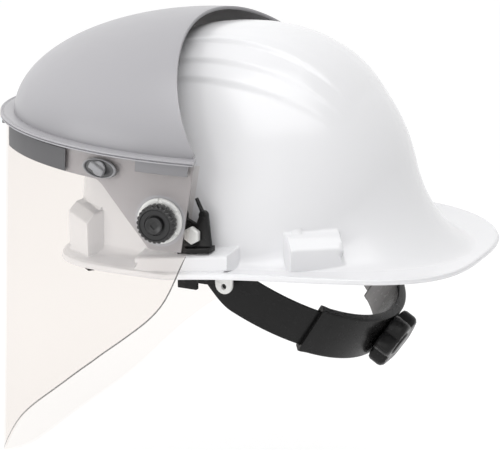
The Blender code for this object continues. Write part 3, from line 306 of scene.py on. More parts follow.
class ShellSettings(PropertyGroup):
    """Sizes and colour of the shell."""

    colour: FloatVectorProperty(
        name="Shell colour", description="Moulded white of the shell",
        default=(0.84, 0.84, 0.855), **COLOUR)
    roughness: FloatProperty(
        name="Shell roughness", description="Gloss of the moulded shell", default=0.24, min=0.0, max=1.0)
    rib_softness: FloatProperty(
        name="Rib softness", description="Width over which a rib steps down", unit="LENGTH", default=0.0018)
    edge_softness: FloatProperty(
        name="Pocket edge", description="Rounding along the pockets' edges", unit="LENGTH", default=0.0016)
    side_fillet: FloatProperty(
        name="Side fillet", description="Height of the hollow between wall and brim at the sides",
        unit="LENGTH", default=0.005)
    peak_rise: FloatProperty(
        name="Peak fillet rise", description="Height of the hollow between wall and peak at the rear",
        unit="LENGTH", default=0.055)
    peak_reach: FloatProperty(
        name="Peak fillet reach", description="Length of that hollow over the peak",
        unit="LENGTH", default=0.036)
    columns: IntProperty(
        name="Columns", description="Columns of faces round the shell", default=300, min=60)


class ShieldSettings(PropertyGroup):
    """Colours of the face shield."""

    crown_colour: FloatVectorProperty(
        name="Crown colour", description="Grey of the crown guard", default=(0.402, 0.396, 0.415), **COLOUR)
    visor_colour: FloatVectorProperty(
        name="Visor tint", description="Light that passes one face of the clear sheet",
        default=(0.980, 0.968, 0.958), **COLOUR)
    visor_haze: FloatProperty(
        name="Visor haze", description="How much one face of the sheet hides",
        default=0.010, min=0.0, max=1.0)
    label_colour: FloatVectorProperty(
        name="Label colour", description="Dark grey of the bare label plate",
        default=(0.094, 0.093, 0.097), **COLOUR)


class FittingSettings(PropertyGroup):
    """Colours of the knobs, locks and suspension."""

    knob_colour: FloatVectorProperty(
        name="Knob colour", description="Dark grey of the pivot knobs",
        default=(0.013, 0.013, 0.0135), **COLOUR)
    lock_colour: FloatVectorProperty(
        name="Lock colour", description="Grey of the twist locks", default=(0.30, 0.30, 0.31), **COLOUR)
    white_colour: FloatVectorProperty(
        name="White fittings", description="White of rings, nuts and lugs",
        default=(0.82, 0.82, 0.80), **COLOUR)
    black_colour: FloatVectorProperty(
        name="Black plastic", description="Black of adapters, headband and ratchet",
        default=(0.010, 0.0098, 0.0098), **COLOUR)
    webbing_colour: FloatVectorProperty(
        name="Webbing", description="Grey of the crown straps", default=(0.25, 0.25, 0.26), **COLOUR)


class StageSettings(PropertyGroup):
    """Camera and light."""

    azimuth: FloatProperty(
        name="Azimuth", description="Camera's turn from the left side",
        subtype="ANGLE", default=math.radians(26.8))
    elevation: FloatProperty(
        name="Elevation", description="Camera's height over the horizon",
        subtype="ANGLE", default=math.radians(14.3))
    distance: FloatProperty(
        name="Distance", description="Camera's distance from its target", unit="LENGTH", default=0.8848)
    target: FloatVectorProperty(
        name="Target", description="Point in the middle of the picture", subtype="TRANSLATION", unit="LENGTH",
        default=(-0.0024, 0.0, 0.0061))
    lens: FloatProperty(
        name="Lens", description="Focal length on a sensor 36 mm wide", default=95.5)
    ambient: FloatProperty(
        name="Ambient", description="Mean strength of the light from all round", default=0.705, min=0.0)
    drift: FloatVectorProperty(
        name="Ambient drift", description="How the light from all round grows along each axis", subtype="XYZ",
        default=(-0.50, 0.25, -0.05))
    key: FloatProperty(
        name="Key light", description="Power of the overhead softbox in watts", default=5.2, min=0.0)
    fill: FloatProperty(
        name="Fill light", description="Power of the softbox at the camera's left in watts",
        default=4.6, min=0.0)
    front: FloatProperty(
        name="Front light", description="Power of the softbox beside the camera in watts",
        default=1.45, min=0.0)
    floor_glow: FloatProperty(
        name="Floor glow", description="Light that brings the floor up to white", default=0.835, min=0.0)


def arithmetic(operation, swapped=False):
    """A method that joins two values with a math node."""
    def combine(self, other):
        left, right = (other, self) if swapped else (self, other)
        return self.finish.node("ShaderNodeMath", {"operation": operation}, {0: left, 1: right})
    return combine


class Shade:
    """A node socket that can be used in arithmetic."""

    def __init__(self, finish, socket):
        self.finish = finish
        self.socket = socket

    __add__ = arithmetic("ADD")
    __radd__ = arithmetic("ADD", True)
    __sub__ = arithmetic("SUBTRACT")
    __rsub__ = arithmetic("SUBTRACT", True)
    __mul__ = arithmetic("MULTIPLY")
    __rmul__ = arithmetic("MULTIPLY", True)
    __pow__ = arithmetic("POWER")


class Finish:
    """The nodes of a material, or of the world, that is being built."""

    def __init__(self, owner):
        self.owner = owner
        owner.use_nodes = True
        self.tree = owner.node_tree
        self.tree.nodes.clear()

    def node(self, kind, settings=None, inputs=None, output=0):
        """Add a node, set it up, fill its sockets and return one of its outputs."""
        item = self.tree.nodes.new(kind)
        for name, value in (settings or {}).items():
            setattr(item, name, value)
        for name, value in (inputs or {}).items():
            if isinstance(value, Shade):
                self.tree.links.new(value.socket, item.inputs[name])
            else:
                item.inputs[name].default_value = value
        return Shade(self, item.outputs[output]) if item.outputs else None

    def tinted(self, colour, tone):
        """Multiply a colour by a value that changes over the surface."""
        settings = {"data_type": "RGBA", "blend_type": "MULTIPLY"}
        return self.node("ShaderNodeMix", settings, {0: 1.0, 6: (*colour, 1.0), 7: tone}, 2)

    def place(self, source="Object"):
        """Coordinates on the piece."""
        return self.node("ShaderNodeTexCoord", None, None, source)

    def noise(self, scale, detail):
        """Noise of a given scale on the piece."""
        inputs = {"Vector": self.place(), "Scale": scale, "Detail": detail}
        return self.node("ShaderNodeTexNoise", None, inputs)

    def cells(self, scale):
        """Small cells of a given scale on the piece."""
        return self.node("ShaderNodeTexVoronoi", None, {"Vector": self.place(), "Scale": scale})

    def sine(self, value):
        """Wave along a value."""
        return self.node("ShaderNodeMath", {"operation": "SINE"}, {0: value})

    def lightness(self):
        """1 on most of a piece; less where its vertices carry painted shade, more where they carry painted
        light.
        """
        return 1.0 - self.node("ShaderNodeAttribute", {"attribute_name": "shade"}, None, "Fac")

    def bump(self, height, distance):
        """Surface relief from a height."""
        return self.node("ShaderNodeBump", None, {"Strength": 1.0, "Distance": distance, "Height": height})

    def close(self, shader, output="ShaderNodeOutputMaterial"):
        """Send a shader to the output."""
        self.node(output, None, {"Surface": shader})

    def surface(self, sockets):
        """Close the material with one shader."""
        self.close(self.node("ShaderNodeBsdfPrincipled", None, sockets))


def new_finish(name):
    """A new material that is being built."""
    return Finish(bpy.data.materials.new(f"{name}_finish"))


def moulded(name, colour, roughness, grain_scale, grain_depth, mottle, coat=0.0):
    """Moulded plastic: faint flow marks, changing gloss, a fine grain, and the painted light and shade that
    its vertices carry.
    """
    finish = new_finish(name)
    flow = finish.noise(scale=11.0, detail=4.0)
    grain = finish.noise(grain_scale, detail=2.0)
    wear = finish.noise(scale=75.0, detail=5.0)
    tone = (1.0 - mottle / 2 + flow * mottle) * finish.lightness()
    finish.surface({
        "Base Color": finish.tinted(colour, tone),
        "Roughness": roughness * 0.85 + wear * roughness * 0.3,
        "Coat Weight": coat,
        "Coat Roughness": 0.12,
        "Normal": finish.bump(grain, grain_depth),
    })


def black_finish(settings):
    """Black plastic with a fine leathery grain, lightened where its vertices carry a painted reflection."""
    finish = new_finish("black_plastic")
    grain = finish.cells(scale=1300.0)
    flow = finish.noise(scale=22.0, detail=4.0)
    dust = finish.noise(scale=240.0, detail=4.0)
    tone = (0.85 + flow * 0.35) * finish.lightness()
    finish.surface({
        "Base Color": finish.tinted(settings.black_colour, tone),
        "Roughness": 0.20 + dust * 0.12,
        "Specular IOR Level": 0.20,
        "Normal": finish.bump(grain, distance=0.00003),
    })


def clear_finish(settings):
    """Clear sheet with a faint warm tint, more visible where it is seen at a slant."""
    finish = new_finish("visor_clear")
    slant = finish.node("ShaderNodeLayerWeight", None, {"Blend": 0.35}, "Facing")
    smears = finish.noise(scale=16.0, detail=3.0)
    share = settings.visor_haze * (0.7 + smears * 0.6) + slant**5.0 * 0.05
    through = finish.node("ShaderNodeBsdfTransparent", None, {"Color": (*settings.visor_colour, 1.0)})
    gloss = finish.node("ShaderNodeBsdfPrincipled", None, {
        "Base Color": finish.tinted((0.30, 0.27, 0.24), 0.97 + smears * 0.06),
        "Roughness": 0.04 + smears * 0.03,
        "IOR": 1.58,
    })
    finish.close(finish.node("ShaderNodeMixShader", None, {0: share, 1: through, 2: gloss}))


def clear_edge_finish():
    """Cut edge of the clear sheet, which looks dark from outside."""
    finish = new_finish("visor_edge")
    saw = finish.noise(scale=700.0, detail=2.0)
    behind = finish.node("ShaderNodeNewGeometry", None, None, "Backfacing")
    finish.surface({
        "Base Color": finish.tinted((0.05, 0.05, 0.05), 0.9 + saw * 0.2),
        "Roughness": 0.25 + saw * 0.1,
        "Alpha": 0.8 - behind * 0.8,
    })


def webbing_finish(settings):
    """Woven strap: twill ribs across its length."""
    finish = new_finish("webbing_grey")
    across = finish.node("ShaderNodeSeparateXYZ", None, {0: finish.place("UV")}, "X")
    along = Shade(finish, across.socket.node.outputs["Y"])
    weave = 0.5 + finish.sine(along * 900.0 + across * 60.0) * finish.sine(across * 150.0) * 0.5
    fuzz = finish.noise(scale=900.0, detail=4.0)
    finish.surface({
        "Base Color": finish.tinted(settings.webbing_colour, 0.65 + weave * 0.4 + fuzz * 0.2),
        "Roughness": 0.82 + fuzz * 0.15,
        "Normal": finish.bump(weave + fuzz * 0.4, distance=0.0002),
    })


def foam_finish():
    """Black brow pad: brushed knit over foam."""
    finish = new_finish("foam_black")
    knit = finish.cells(scale=1100.0)
    fuzz = finish.noise(scale=1500.0, detail=4.0)
    finish.surface({
        "Base Color": finish.tinted((0.028, 0.028, 0.030), 0.6 + knit * 0.5 + fuzz * 0.3),
        "Roughness": 0.88 + fuzz * 0.1,
        "Sheen Weight": 0.25,
        "Normal": finish.bump(knit + fuzz * 0.3, distance=0.00025),
    })


def rest():
    """Leave edit mode with nothing selected."""
    if bpy.context.object and bpy.context.object.mode != "OBJECT":
        bpy.ops.object.mode_set(mode="OBJECT")
    bpy.ops.object.select_all(action="DESELECT")


def pick(piece):
    """Select one object and make it active."""
    rest()
    piece.select_set(True)
    bpy.context.view_layer.objects.active = piece


def edit(piece):
    """Go into edit mode on one object with all of it selected."""
    pick(piece)
    bpy.ops.object.mode_set(mode="EDIT")
    bpy.ops.mesh.select_all(action="SELECT")


def weld(piece):
    """Merge seams and poles, drop loose edges and turn the faces outwards."""
    edit(piece)
    bpy.ops.mesh.remove_doubles(threshold=0.000002)
    bpy.ops.mesh.delete_loose()
    bpy.ops.mesh.select_all(action="SELECT")
    bpy.ops.mesh.normals_make_consistent(inside=False)
    rest()


def applied(piece, kind, **settings):
    """Give a piece a modifier and apply it."""
    pick(piece)
    modifier = piece.modifiers.new(kind.lower(), kind)
    for name, value in settings.items():
        setattr(modifier, name, value)
    bpy.ops.object.modifier_apply(modifier=modifier.name)
    return piece


def carved(piece, cutter, **settings):
    """Cut one object out of a piece and drop the cutter."""
    applied(piece, "BOOLEAN", object=cutter, operation="DIFFERENCE", solver="EXACT", **settings)
    bpy.data.objects.remove(cutter)


def smooth(piece, angle=38.0):
    """Smooth shading with sharp creases left sharp."""
    pick(piece)
    bpy.ops.object.shade_smooth_by_angle(angle=math.radians(angle))
    rest()
    return piece


def joined(pieces):
    """Join pieces into the first one."""
    pick(pieces[0])
    for piece in pieces[1:]:
        piece.select_set(True)
    bpy.ops.object.join()
    return pieces[0]


def placed(name, data):
    """Put a new object in the scene."""
    item = bpy.data.objects.new(name, data)
    bpy.context.scene.collection.objects.link(item)
    return item


def skin(name, rows):
    """Shape a grid to rows of points and close its seams."""
    rest()
    across = len(rows[0]) - 1
    down = len(rows) - 1
    bpy.ops.mesh.primitive_grid_add(x_subdivisions=across, y_subdivisions=down, size=1.0)
    piece = bpy.context.object
    piece.name = name
    piece.data.name = name
    for vertex in piece.data.vertices:
        i = round((vertex.co.x + 0.5) * across)
        j = round((vertex.co.y + 0.5) * down)
        vertex.co = rows[j][i]
    weld(piece)
    return piece


def sweep(name, sections):
    """Skin closed sections along a path and close both ends."""
    piece = skin(name, [[*ring, ring[0]] for ring in sections])
    edit(piece)
    bpy.ops.mesh.fill_holes(sides=0)
    bpy.ops.mesh.normals_make_consistent(inside=False)
    rest()
    return piece


def lathe(name, profile, steps):
    """Spin a profile of (radius, height) about local Z."""
    rest()
    mesh = bpy.data.meshes.new(name)
    edges = [(i, i + 1) for i in range(len(profile) - 1)]
    mesh.from_pydata([(radius, 0.0, height) for radius, height in profile], edges, [])
    piece = placed(name, mesh)
    edit(piece)
    bpy.ops.mesh.spin(steps=steps, angle=2 * math.pi, center=(0, 0, 0), axis=(0, 0, 1))
    weld(piece)
    return piece


def scaled_round(piece, scale):
    """Move vertices to or from local Z by a scale that depends on their radius and their turn."""
    for vertex in piece.data.vertices:
        turn = math.atan2(vertex.co.y, vertex.co.x)
        factor = scale(math.hypot(vertex.co.x, vertex.co.y), turn)
        vertex.co.x *= factor
        vertex.co.y *= factor


def faced_out(sheet, face, middle):
    """Turn an open sheet's faces round if one of them points to its middle."""
    if face.normal.dot(face.center - middle) < 0:
        edit(sheet)
        bpy.ops.mesh.flip_normals()
        rest()


def rounded(corners, radius, steps=3):
    """Round every corner of a closed outline of 2-D points."""
    outline = []
    count = len(corners)
    for i in range(count):
        corner = Vector(corners[i])
        before = Vector(corners[i - 1]) - corner
        after = Vector(corners[(i + 1) % count]) - corner
        first = corner + before.normalized() * min(radius, before.length * 0.45)
        last = corner + after.normalized() * min(radius, after.length * 0.45)
        for k in range(steps + 1):
            t = k / steps
            outline.append(first * (1 - t) ** 2 + corner * 2 * t * (1 - t) + last * t * t)
    return outline


def paint_light_and_shade(piece, chosen, depth):
    """Paint shade on the chosen vertices of a piece by darkening them by a share of its colour; a share below
    0 paints light by lightening them.
    """
    values = piece.data.attributes.new("shade", "FLOAT", "POINT")
    for index in chosen:
        values.data[index].value = depth
    return piece


def dress(piece, body, slot, *nodes):
    """Give a piece its finish, its body and the nodes that it stands for."""
    piece.data.materials.clear()
    piece.data.materials.append(bpy.data.materials[f"{slot}_finish"])
    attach(piece, body)
    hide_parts(*nodes)
    return piece


def finer(node, body, slot, bevel, segments=2):
    """Copy a frame node, merge it, round its edges and dress it."""
    piece = placed(f"fine_{node}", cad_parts[node].data.copy())
    edit(piece)
    bpy.ops.mesh.customdata_custom_splitnormals_clear()
    bpy.ops.mesh.remove_doubles(threshold=0.00001)
    bpy.ops.mesh.dissolve_limited(angle_limit=math.radians(1.0))
    bpy.ops.mesh.normals_make_consistent(inside=False)
    applied(piece, "BEVEL", width=bevel, segments=segments, limit_method="ANGLE",
            angle_limit=math.radians(32.0), harden_normals=False)
    dress(smooth(piece), body, slot, node)


def ease(share):
    """Smooth step from 0 to 1."""
    share = min(max(share, 0.0), 1.0)
    return share * share * (3 - 2 * share)


def spread(start, end, count):
    """Evenly spaced values from start to end."""
    return [start + (end - start) * k / count for k in range(count + 1)]


def frame_matrix(origin, normal, up):
    """Local Z along the normal, local X as close to up as it can be."""
    axis_z = normal.normalized()
    axis_y = axis_z.cross(up).normalized()
    axis_x = axis_y.cross(axis_z)
    rotation = Matrix((axis_x, axis_y, axis_z)).transposed()
    return Matrix.Translation(origin) @ rotation.to_4x4()


def dome_spread(z):
    """Share of the dome's plan at a height."""
    rise = min(max((z - DOME_BASE_Z) / DOME_HEIGHT, 0.0), 1.0)
    return (1 - rise**DOME_RISE_POWER) ** (1 / DOME_PLAN_POWER)


def wall_point(angle):
    """Plan point of the shell's wall at an ellipse angle, and its outward normal."""
    normal = Vector((math.cos(angle) / DOME_HALF_LENGTH, math.sin(angle) / DOME_HALF_WIDTH, 0)).normalized()
    point = Vector((DOME_CENTRE_X + DOME_HALF_LENGTH * math.cos(angle), DOME_HALF_WIDTH * math.sin(angle), 0))
    return point, normal


def brim_edge(direction):
    """Edge of the brim in a plan direction from the dome's middle."""
    along = math.cos(direction)
    across = math.sin(direction)
    to_rear = along > 0
    reach = DOME_HALF_LENGTH + (PEAK_WIDTH if to_rear else FRONT_BRIM_WIDTH)
    power = PEAK_POWER if to_rear else FRONT_BRIM_POWER
    half_width = DOME_HALF_WIDTH + SIDE_BRIM_WIDTH
    radius = ((abs(along) / reach) ** power + (abs(across) / half_width) ** power) ** (-1 / power)
    share = abs(radius * along) / reach
    if to_rear:
        z = BRIM_SIDE_Z + PEAK_RISE * share + PEAK_ARCH * share * (1 - share)
    else:
        z = BRIM_SIDE_Z - FRONT_DROP * share**FRONT_DROP_POWER
    return Vector((DOME_CENTRE_X + radius * along, radius * across, z))


def rib_height(x, y, softness):
    """Height of the stepped ribs over the dome; behind each step the surface falls back a little."""
    middle = (RIB_ENDS[0] + RIB_ENDS[1]) / 2
    share = abs(x - middle) / (RIB_ENDS[1] - middle)
    fade = max(1 - RIB_FADE * share**4, 0.0)
    narrowing = 1 - RIB_TAPER * min(share, 1.0) ** RIB_TAPER_POWER
    steps = 0.0
    for width in RIB_HALF_WIDTHS:
        inside = width * narrowing - abs(y)
        steps += ease(inside / softness + 0.5) - RIB_FALL * ease(inside / RIB_FALL_WIDTH)
    return RIB_STEP * fade * steps


def pushed(point, angle, block):
    """Push a wall point out to a block on it, whose face falls back from its shoulder to its top."""
    centre, normal = wall_point(math.radians(angle))
    offset = Vector((point.x - centre.x, point.y - centre.y, 0))
    out = offset.dot(normal)
    along = abs(offset.dot(Vector((-normal.y, normal.x, 0))))
    soft = block["softness"]
    top = block["top"] + block.get("slope", 0.0) * (point.x - centre.x)
    beside = along > block["half_width"] + soft
    if beside or not BLOCK_BACK < out < block["depth"] or point.z > top + soft:
        return point
    fall = min(max((point.z - top) / block["shoulder"] + 1, 0.0), 1.0)
    face = block["depth"] + (block["top_depth"] - block["depth"]) * fall
    share = ease((block["half_width"] - along) / soft + 0.5) * ease((top - point.z) / soft + 0.5)
    return point + normal * max(face - out, 0.0) * share


def with_blocks(point, softness, inset):
    """Push a wall point out where a pocket or a slot housing stands; inset is the wall inside it."""
    side = -1.0 if point.y < 0 else 1.0
    for angle, width, depth in zip(POCKET_ANGLES, POCKET_WIDTHS, POCKET_DEPTHS):
        block = {
            "half_width": width / 2 - inset, "depth": depth - inset, "softness": softness,
            "top": POCKET_TOP_Z - 2 * inset, "shoulder": POCKET_SHOULDER - inset,
            "top_depth": SHELL_WALL + inset,
        }
        point = pushed(point, side * angle, block)
    if not inset:
        block = {
            "half_width": HOUSING_WIDTH / 2, "depth": HOUSING_DEPTH, "softness": softness,
            "top": HOUSING_TOP_Z, "slope": HOUSING_SLOPE, "shoulder": HOUSING_CHAMFER,
            "top_depth": HOUSING_DEPTH - HOUSING_CHAMFER,
        }
        point = pushed(point, side * HOUSING_ANGLE, block)
    return point


def shell_column(angle, settings):
    """Points down the outside of the shell, round the brim's lip and up its inside."""
    wall, _ = wall_point(angle)
    centre = Vector((DOME_CENTRE_X, 0, 0))
    spoke = wall - centre
    direction = math.atan2(spoke.y, spoke.x)
    edge = brim_edge(direction)
    outward = Vector((edge.x - wall.x, edge.y - wall.y, 0))
    width = outward.length
    outward.normalize()
    rear = max(math.cos(direction), 0.0) ** FILLET_FADE_POWER
    foot_z = min(edge.z, BRIM_SIDE_Z) + BRIM_SLOPE
    slope = (foot_z - edge.z) / width
    rise = settings.side_fillet + (settings.peak_rise - settings.side_fillet) * rear
    reach = settings.side_fillet + (settings.peak_reach - settings.side_fillet) * rear
    shoulder = foot_z + rise
    top_z = DOME_BASE_Z + DOME_HEIGHT
    low_z = max(DOME_LOW_Z, shoulder + SHOULDER_MARGIN)

    def dome(z, shrink=1.0):
        return centre + spoke * dome_spread(z) * shrink + Vector((0, 0, z))

    def brim(d, drop=0.0):
        return wall + outward * d + Vector((0, 0, foot_z - slope * d - drop))

    def dome_turn(z):
        return math.acos(max((z - DOME_BASE_Z) / DOME_HEIGHT, 0.0) ** (DOME_RISE_POWER / 2))

    def dome_z(turn):
        return min(DOME_BASE_Z + DOME_HEIGHT * math.cos(turn) ** (2 / DOME_RISE_POWER), top_z)

    def fillet_z(t):
        return foot_z + rise * (1 - t) ** FILLET_EASE - slope * reach * t * t

    outside = []
    limits = (0.0, *RIB_TURNS, dome_turn(low_z))
    for start, end, rows in zip(limits, limits[1:], DOME_ROWS):
        for k in range(rows):
            point = dome(dome_z(start + (end - start) * k / rows))
            outside.append(point + Vector((0, 0, rib_height(point.x, point.y, settings.rib_softness))))
    for k in range(WALL_ROWS):
        outside.append(dome(low_z + (shoulder - low_z) * k / WALL_ROWS))
    for k in range(FILLET_ROWS):
        t = k / FILLET_ROWS
        outside.append(dome(fillet_z(t)) + outward * reach * t * t)
    for k in range(BRIM_ROWS + 1):
        outside.append(brim(reach + (width - LIP_ROUND - reach) * k / BRIM_ROWS))
    outside = [with_blocks(point, settings.edge_softness, 0.0) for point in outside]
    peak_share = max(edge.x - DOME_CENTRE_X, 0.0) / (DOME_HALF_LENGTH + PEAK_WIDTH)
    depth = BRIM_LIP + (PEAK_LIP - BRIM_LIP) * peak_share
    roll = []
    for k in range(1, LIP_STEPS + 1):
        turn = math.radians(90 / LIP_STEPS * k)
        roll.append((LIP_ROUND * (math.sin(turn) - 1), LIP_ROUND * (math.cos(turn) - 1)))
    for k in range(LIP_STEPS + 1):
        turn = math.radians(180 / LIP_STEPS * k)
        roll.append((LIP_BEAD * math.cos(turn) - LIP_BEAD_INSET, LIP_BEAD * (1 - math.sin(turn)) - depth))
    lip = [edge + outward * d + Vector((0, 0, z)) for d, z in roll]
    inside = []
    brim_rows, fillet_rows, dome_rows = INSIDE_ROWS
    for k in range(brim_rows + 1):
        inside.append(brim(width - SHELL_WALL + (reach - width + SHELL_WALL) * k / brim_rows, SHELL_WALL))
    for k in range(1, fillet_rows + 1):
        t = 1 - k / fillet_rows
        inset = outward * (reach * t * t - SHELL_WALL * (1 - t)) - Vector((0, 0, SHELL_WALL * t))
        inside.append(dome(fillet_z(t)) + inset)
    shrink = 1 - SHELL_WALL / DOME_HALF_WIDTH
    for k in range(1, dome_rows + 1):
        z = dome_z(dome_turn(shoulder) * (1 - k / dome_rows))
        inside.append(dome(z, shrink) - Vector((0, 0, SHELL_WALL * (z - shoulder) / (top_z - shoulder))))
    inside = [with_blocks(point, settings.edge_softness, SHELL_WALL) for point in inside]
    return outside + lip + inside


def shell_angles(count, softness):
    """Angles round the shell, closer together at the edges of the pockets and housings."""
    angles = [2 * math.pi * i / count for i in range(count)]
    for side in SIDES.values():
        for middle, width in [*zip(POCKET_ANGLES, POCKET_WIDTHS), (HOUSING_ANGLE, HOUSING_WIDTH)]:
            centre, normal = wall_point(side * math.radians(middle))
            tangent = Vector((-normal.y, normal.x, 0))
            for end in (-1, 1):
                for k in range(EDGE_COLUMNS):
                    target = end * (width / 2 + softness * (k / (EDGE_COLUMNS - 1) - 0.5) * EDGE_SPREAD)
                    low = side * math.radians(middle) - SEARCH_SPAN
                    high = low + 2 * SEARCH_SPAN
                    for _ in range(SEARCH_STEPS):
                        guess = (low + high) / 2
                        if (wall_point(guess)[0] - centre).dot(tangent) < target:
                            low = guess
                        else:
                            high = guess
                    angles.append(low % (2 * math.pi))
    return sorted(angles)


class HARDHAT_OT_shell(Operator):
    """White shell with its ribs, pockets, slot housings and rolled brim"""

    bl_idname = "hard_hat.shell"
    bl_label = "Shell"

    def execute(self, context):
        settings = context.scene.hard_hat_shell
        moulded("shell_white", settings.colour, settings.roughness,
                grain_scale=420.0, grain_depth=0.000012, mottle=0.02, coat=0.25)
        angles = shell_angles(settings.columns, settings.edge_softness)
        columns = [shell_column(angle, settings) for angle in angles]
        columns.append(columns[0])
        shell = skin("hat_shell", list(zip(*columns)))
        smooth(shell, angle=50.0)
        dress(shell, "hat", "shell_white", "shell")
        return {"FINISHED"}


class HARDHAT_OT_adapters(Operator):
    """Black slot adapters with their white hex nuts"""

    bl_idname = "hard_hat.adapters"
    bl_label = "Slot adapters"

    def execute(self, context):
        settings = context.scene.hard_hat_fittings
        black_finish(settings)
        moulded("fitting_white", settings.white_colour, roughness=0.28,
                grain_scale=900.0, grain_depth=0.00001, mottle=0.03, coat=0.15)
        for name in SIDES:
            finer(f"slot_adapter_{name}", "hat", "black_plastic", bevel=0.0007, segments=3)
            finer(f"clamp_nut_{name}", "hat", "fitting_white", bevel=0.0004)
        return {"FINISHED"}


def head_point(angle, offset, z):
    """Point on the head oval at an angle in degrees, moved out by an offset."""
    turn = math.radians(angle)
    normal = Vector((math.cos(turn) / HEAD_HALF_LENGTH, math.sin(turn) / HEAD_HALF_WIDTH, 0)).normalized()
    point = Vector((HEAD_HALF_LENGTH * math.cos(turn), HEAD_HALF_WIDTH * math.sin(turn), z))
    return point + normal * offset


class HARDHAT_OT_suspension(Operator):
    """Keys, headband, brow pad, crown straps and chin strap lugs"""

    bl_idname = "hard_hat.suspension"
    bl_label = "Suspension"

    def execute(self, context):
        settings = context.scene.hard_hat_fittings
        webbing_finish(settings)
        foam_finish()
        for name in SIDES:
            finer(f"chin_lug_{name}", "hat", "fitting_white", bevel=0.0004)
            for end in ("front", "rear"):
                finer(f"suspension_key_{end}_{name}", "hat", "black_plastic", bevel=0.0006)
        finer("headband", "hat", "black_plastic", bevel=0.0005)
        self.brow_pad()
        for node in ("crown_strap_lower", "crown_strap_upper"):
            self.strap(node)
        return {"FINISHED"}

    def brow_pad(self):
        """Crowned foam pad with a row of sewn dimples along its middle."""
        back = -BAND_THICKNESS - SEAT_GAP
        sections = []
        for k, angle in enumerate(spread(180 - SWEATBAND_SPAN, 180 + SWEATBAND_SPAN, PAD_STATIONS)):
            end = ease(min(k, PAD_STATIONS - k) / PAD_END_STATIONS)
            half = (BAND_HALF_HEIGHT + SWEATBAND_MARGIN) * (PAD_END_HEIGHT + (1 - PAD_END_HEIGHT) * end)
            ring = [head_point(angle, back, half * (-1 + i / 4)) for i in range(9)]
            for i in range(25):
                v = 1 - i / 12
                crown = max(1 - abs(v) ** PAD_CROWN_POWERS[0], 0.0) ** PAD_CROWN_POWERS[1]
                dimple = PAD_DIMPLE * math.exp(-(v / PAD_DIMPLE_WIDTH) ** 2)
                dimple *= 0.5 + 0.5 * math.cos(k * math.pi / PAD_DIMPLE_PITCH)
                full = (PAD_END_THICKNESS + (1 - PAD_END_THICKNESS) * end) * crown
                thick = SWEATBAND_THICKNESS * max(full - dimple * end, PAD_THINNEST)
                ring.append(head_point(angle, back - thick, half * v))
            sections.append(ring)
        pad = smooth(sweep("brow_pad", sections), angle=60.0)
        dress(pad, "hat", "foam_black", "sweatband")

    def strap_line(self, node, flat, half):
        """Middle line of a crown strap, from the front key's arm to the rear key's."""
        low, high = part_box(node)
        middle = (low + high) / 2
        points = [vertex.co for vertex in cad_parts[node].data.vertices]
        front, rear = (min(p.z for p in points if (p - middle).dot(flat) * end > 0) for end in (-1, 1))
        apex = high.z - WEB_THICKNESS / 2
        line = []
        for k in range(WEB_STATIONS + 1):
            turn = math.pi * k / WEB_STATIONS
            along = -math.copysign(abs(math.cos(turn)) ** WEB_ROUND, math.cos(turn))
            base = front + (rear - front) * (along + 1) / 2
            rise = (apex - base) * max(math.sin(turn), 0.0) ** WEB_RISE
            place = middle + flat * half * along
            line.append(Vector((place.x, place.y, base + rise)))
        return line

    def strap(self, node):
        """Woven strap: a ribbon with thicker selvedges and rolled edges that arches from key to key."""
        low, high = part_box(node)
        reach = high - low
        diagonal = 1.0 if node == "crown_strap_lower" else -1.0
        flat = Vector((reach.x, diagonal * reach.y, 0)).normalized()
        for _ in range(12):
            trimmed = (reach.x - WEB_WIDTH * abs(flat.y), diagonal * (reach.y - WEB_WIDTH * abs(flat.x)), 0)
            half = (Vector(trimmed).length - WEB_THICKNESS) / 2
            flat = Vector(trimmed).normalized()
        across = Vector((-flat.y, flat.x, 0))
        line = self.strap_line(node, flat, half)
        tangents = []
        lengths = [0.0]
        sections = []
        shares = [math.sin(math.pi / 2 * i / WEB_SHARES) for i in range(-WEB_SHARES, WEB_SHARES + 1)]
        for k, point in enumerate(line):
            tangent = (line[min(k + 1, WEB_STATIONS)] - line[max(k - 1, 0)]).normalized()
            if k in (0, WEB_STATIONS):
                tangent = Vector((0, 0, 1.0 if k == 0 else -1.0))
            tangents.append(tangent)
            if k:
                lengths.append(lengths[-1] + (point - line[k - 1]).length)
            up = across.cross(tangent) * WEB_THICKNESS / 2
            upper = []
            lower = []
            for share in shares:
                bead = math.exp(-((abs(share) - SELVEDGE_PLACE) / SELVEDGE_WIDTH) ** 2)
                roll = max(1 - abs(share) ** WEB_EDGE_POWER, 0.0) ** 0.5
                height = (WEB_MIDDLE + (1 - WEB_MIDDLE) * bead) * roll
                upper.append(point + across * share * WEB_WIDTH / 2 + up * height)
                lower.append(point + across * share * WEB_WIDTH / 2 - up * height)
            sections.append(upper + lower[-2:0:-1])
        piece = smooth(sweep(f"woven_{node}", sections), angle=60.0)
        layer = piece.data.uv_layers.active
        places = []
        for vertex in piece.data.vertices:
            k = min(range(len(line)), key=lambda i: (vertex.co - line[i]).length_squared)
            offset = vertex.co - line[k]
            along = lengths[k] + offset.dot(tangents[k])
            places.append((offset.dot(across) * WEAVE_ACROSS + 0.5, along * WEAVE_ALONG))
        for loop in piece.data.loops:
            layer.data[loop.index].uv = places[loop.vertex_index]
        dress(piece, "hat", "webbing_grey", node)


def nape_matrix():
    """Frame of the nape: local X runs to the rear and down, local Z stands across the strap."""
    return Matrix.Translation(NAPE_ROOT) @ Matrix.Rotation(math.radians(NAPE_TILT), 4, "Y")


def nape_point(angle, side, offset, height):
    """Point on the nape oval at an angle in degrees from the side, in the frame's axes."""
    half_width = HEAD_HALF_WIDTH + SEAT_GAP + TAIL_THICKNESS / 2
    turn = math.radians(angle)
    normal = Vector((math.sin(turn) / NAPE_REACH, side * math.cos(turn) / half_width, 0)).normalized()
    point = Vector((NAPE_REACH * math.sin(turn), side * half_width * math.cos(turn), height))
    return nape_matrix() @ (point + normal * offset)


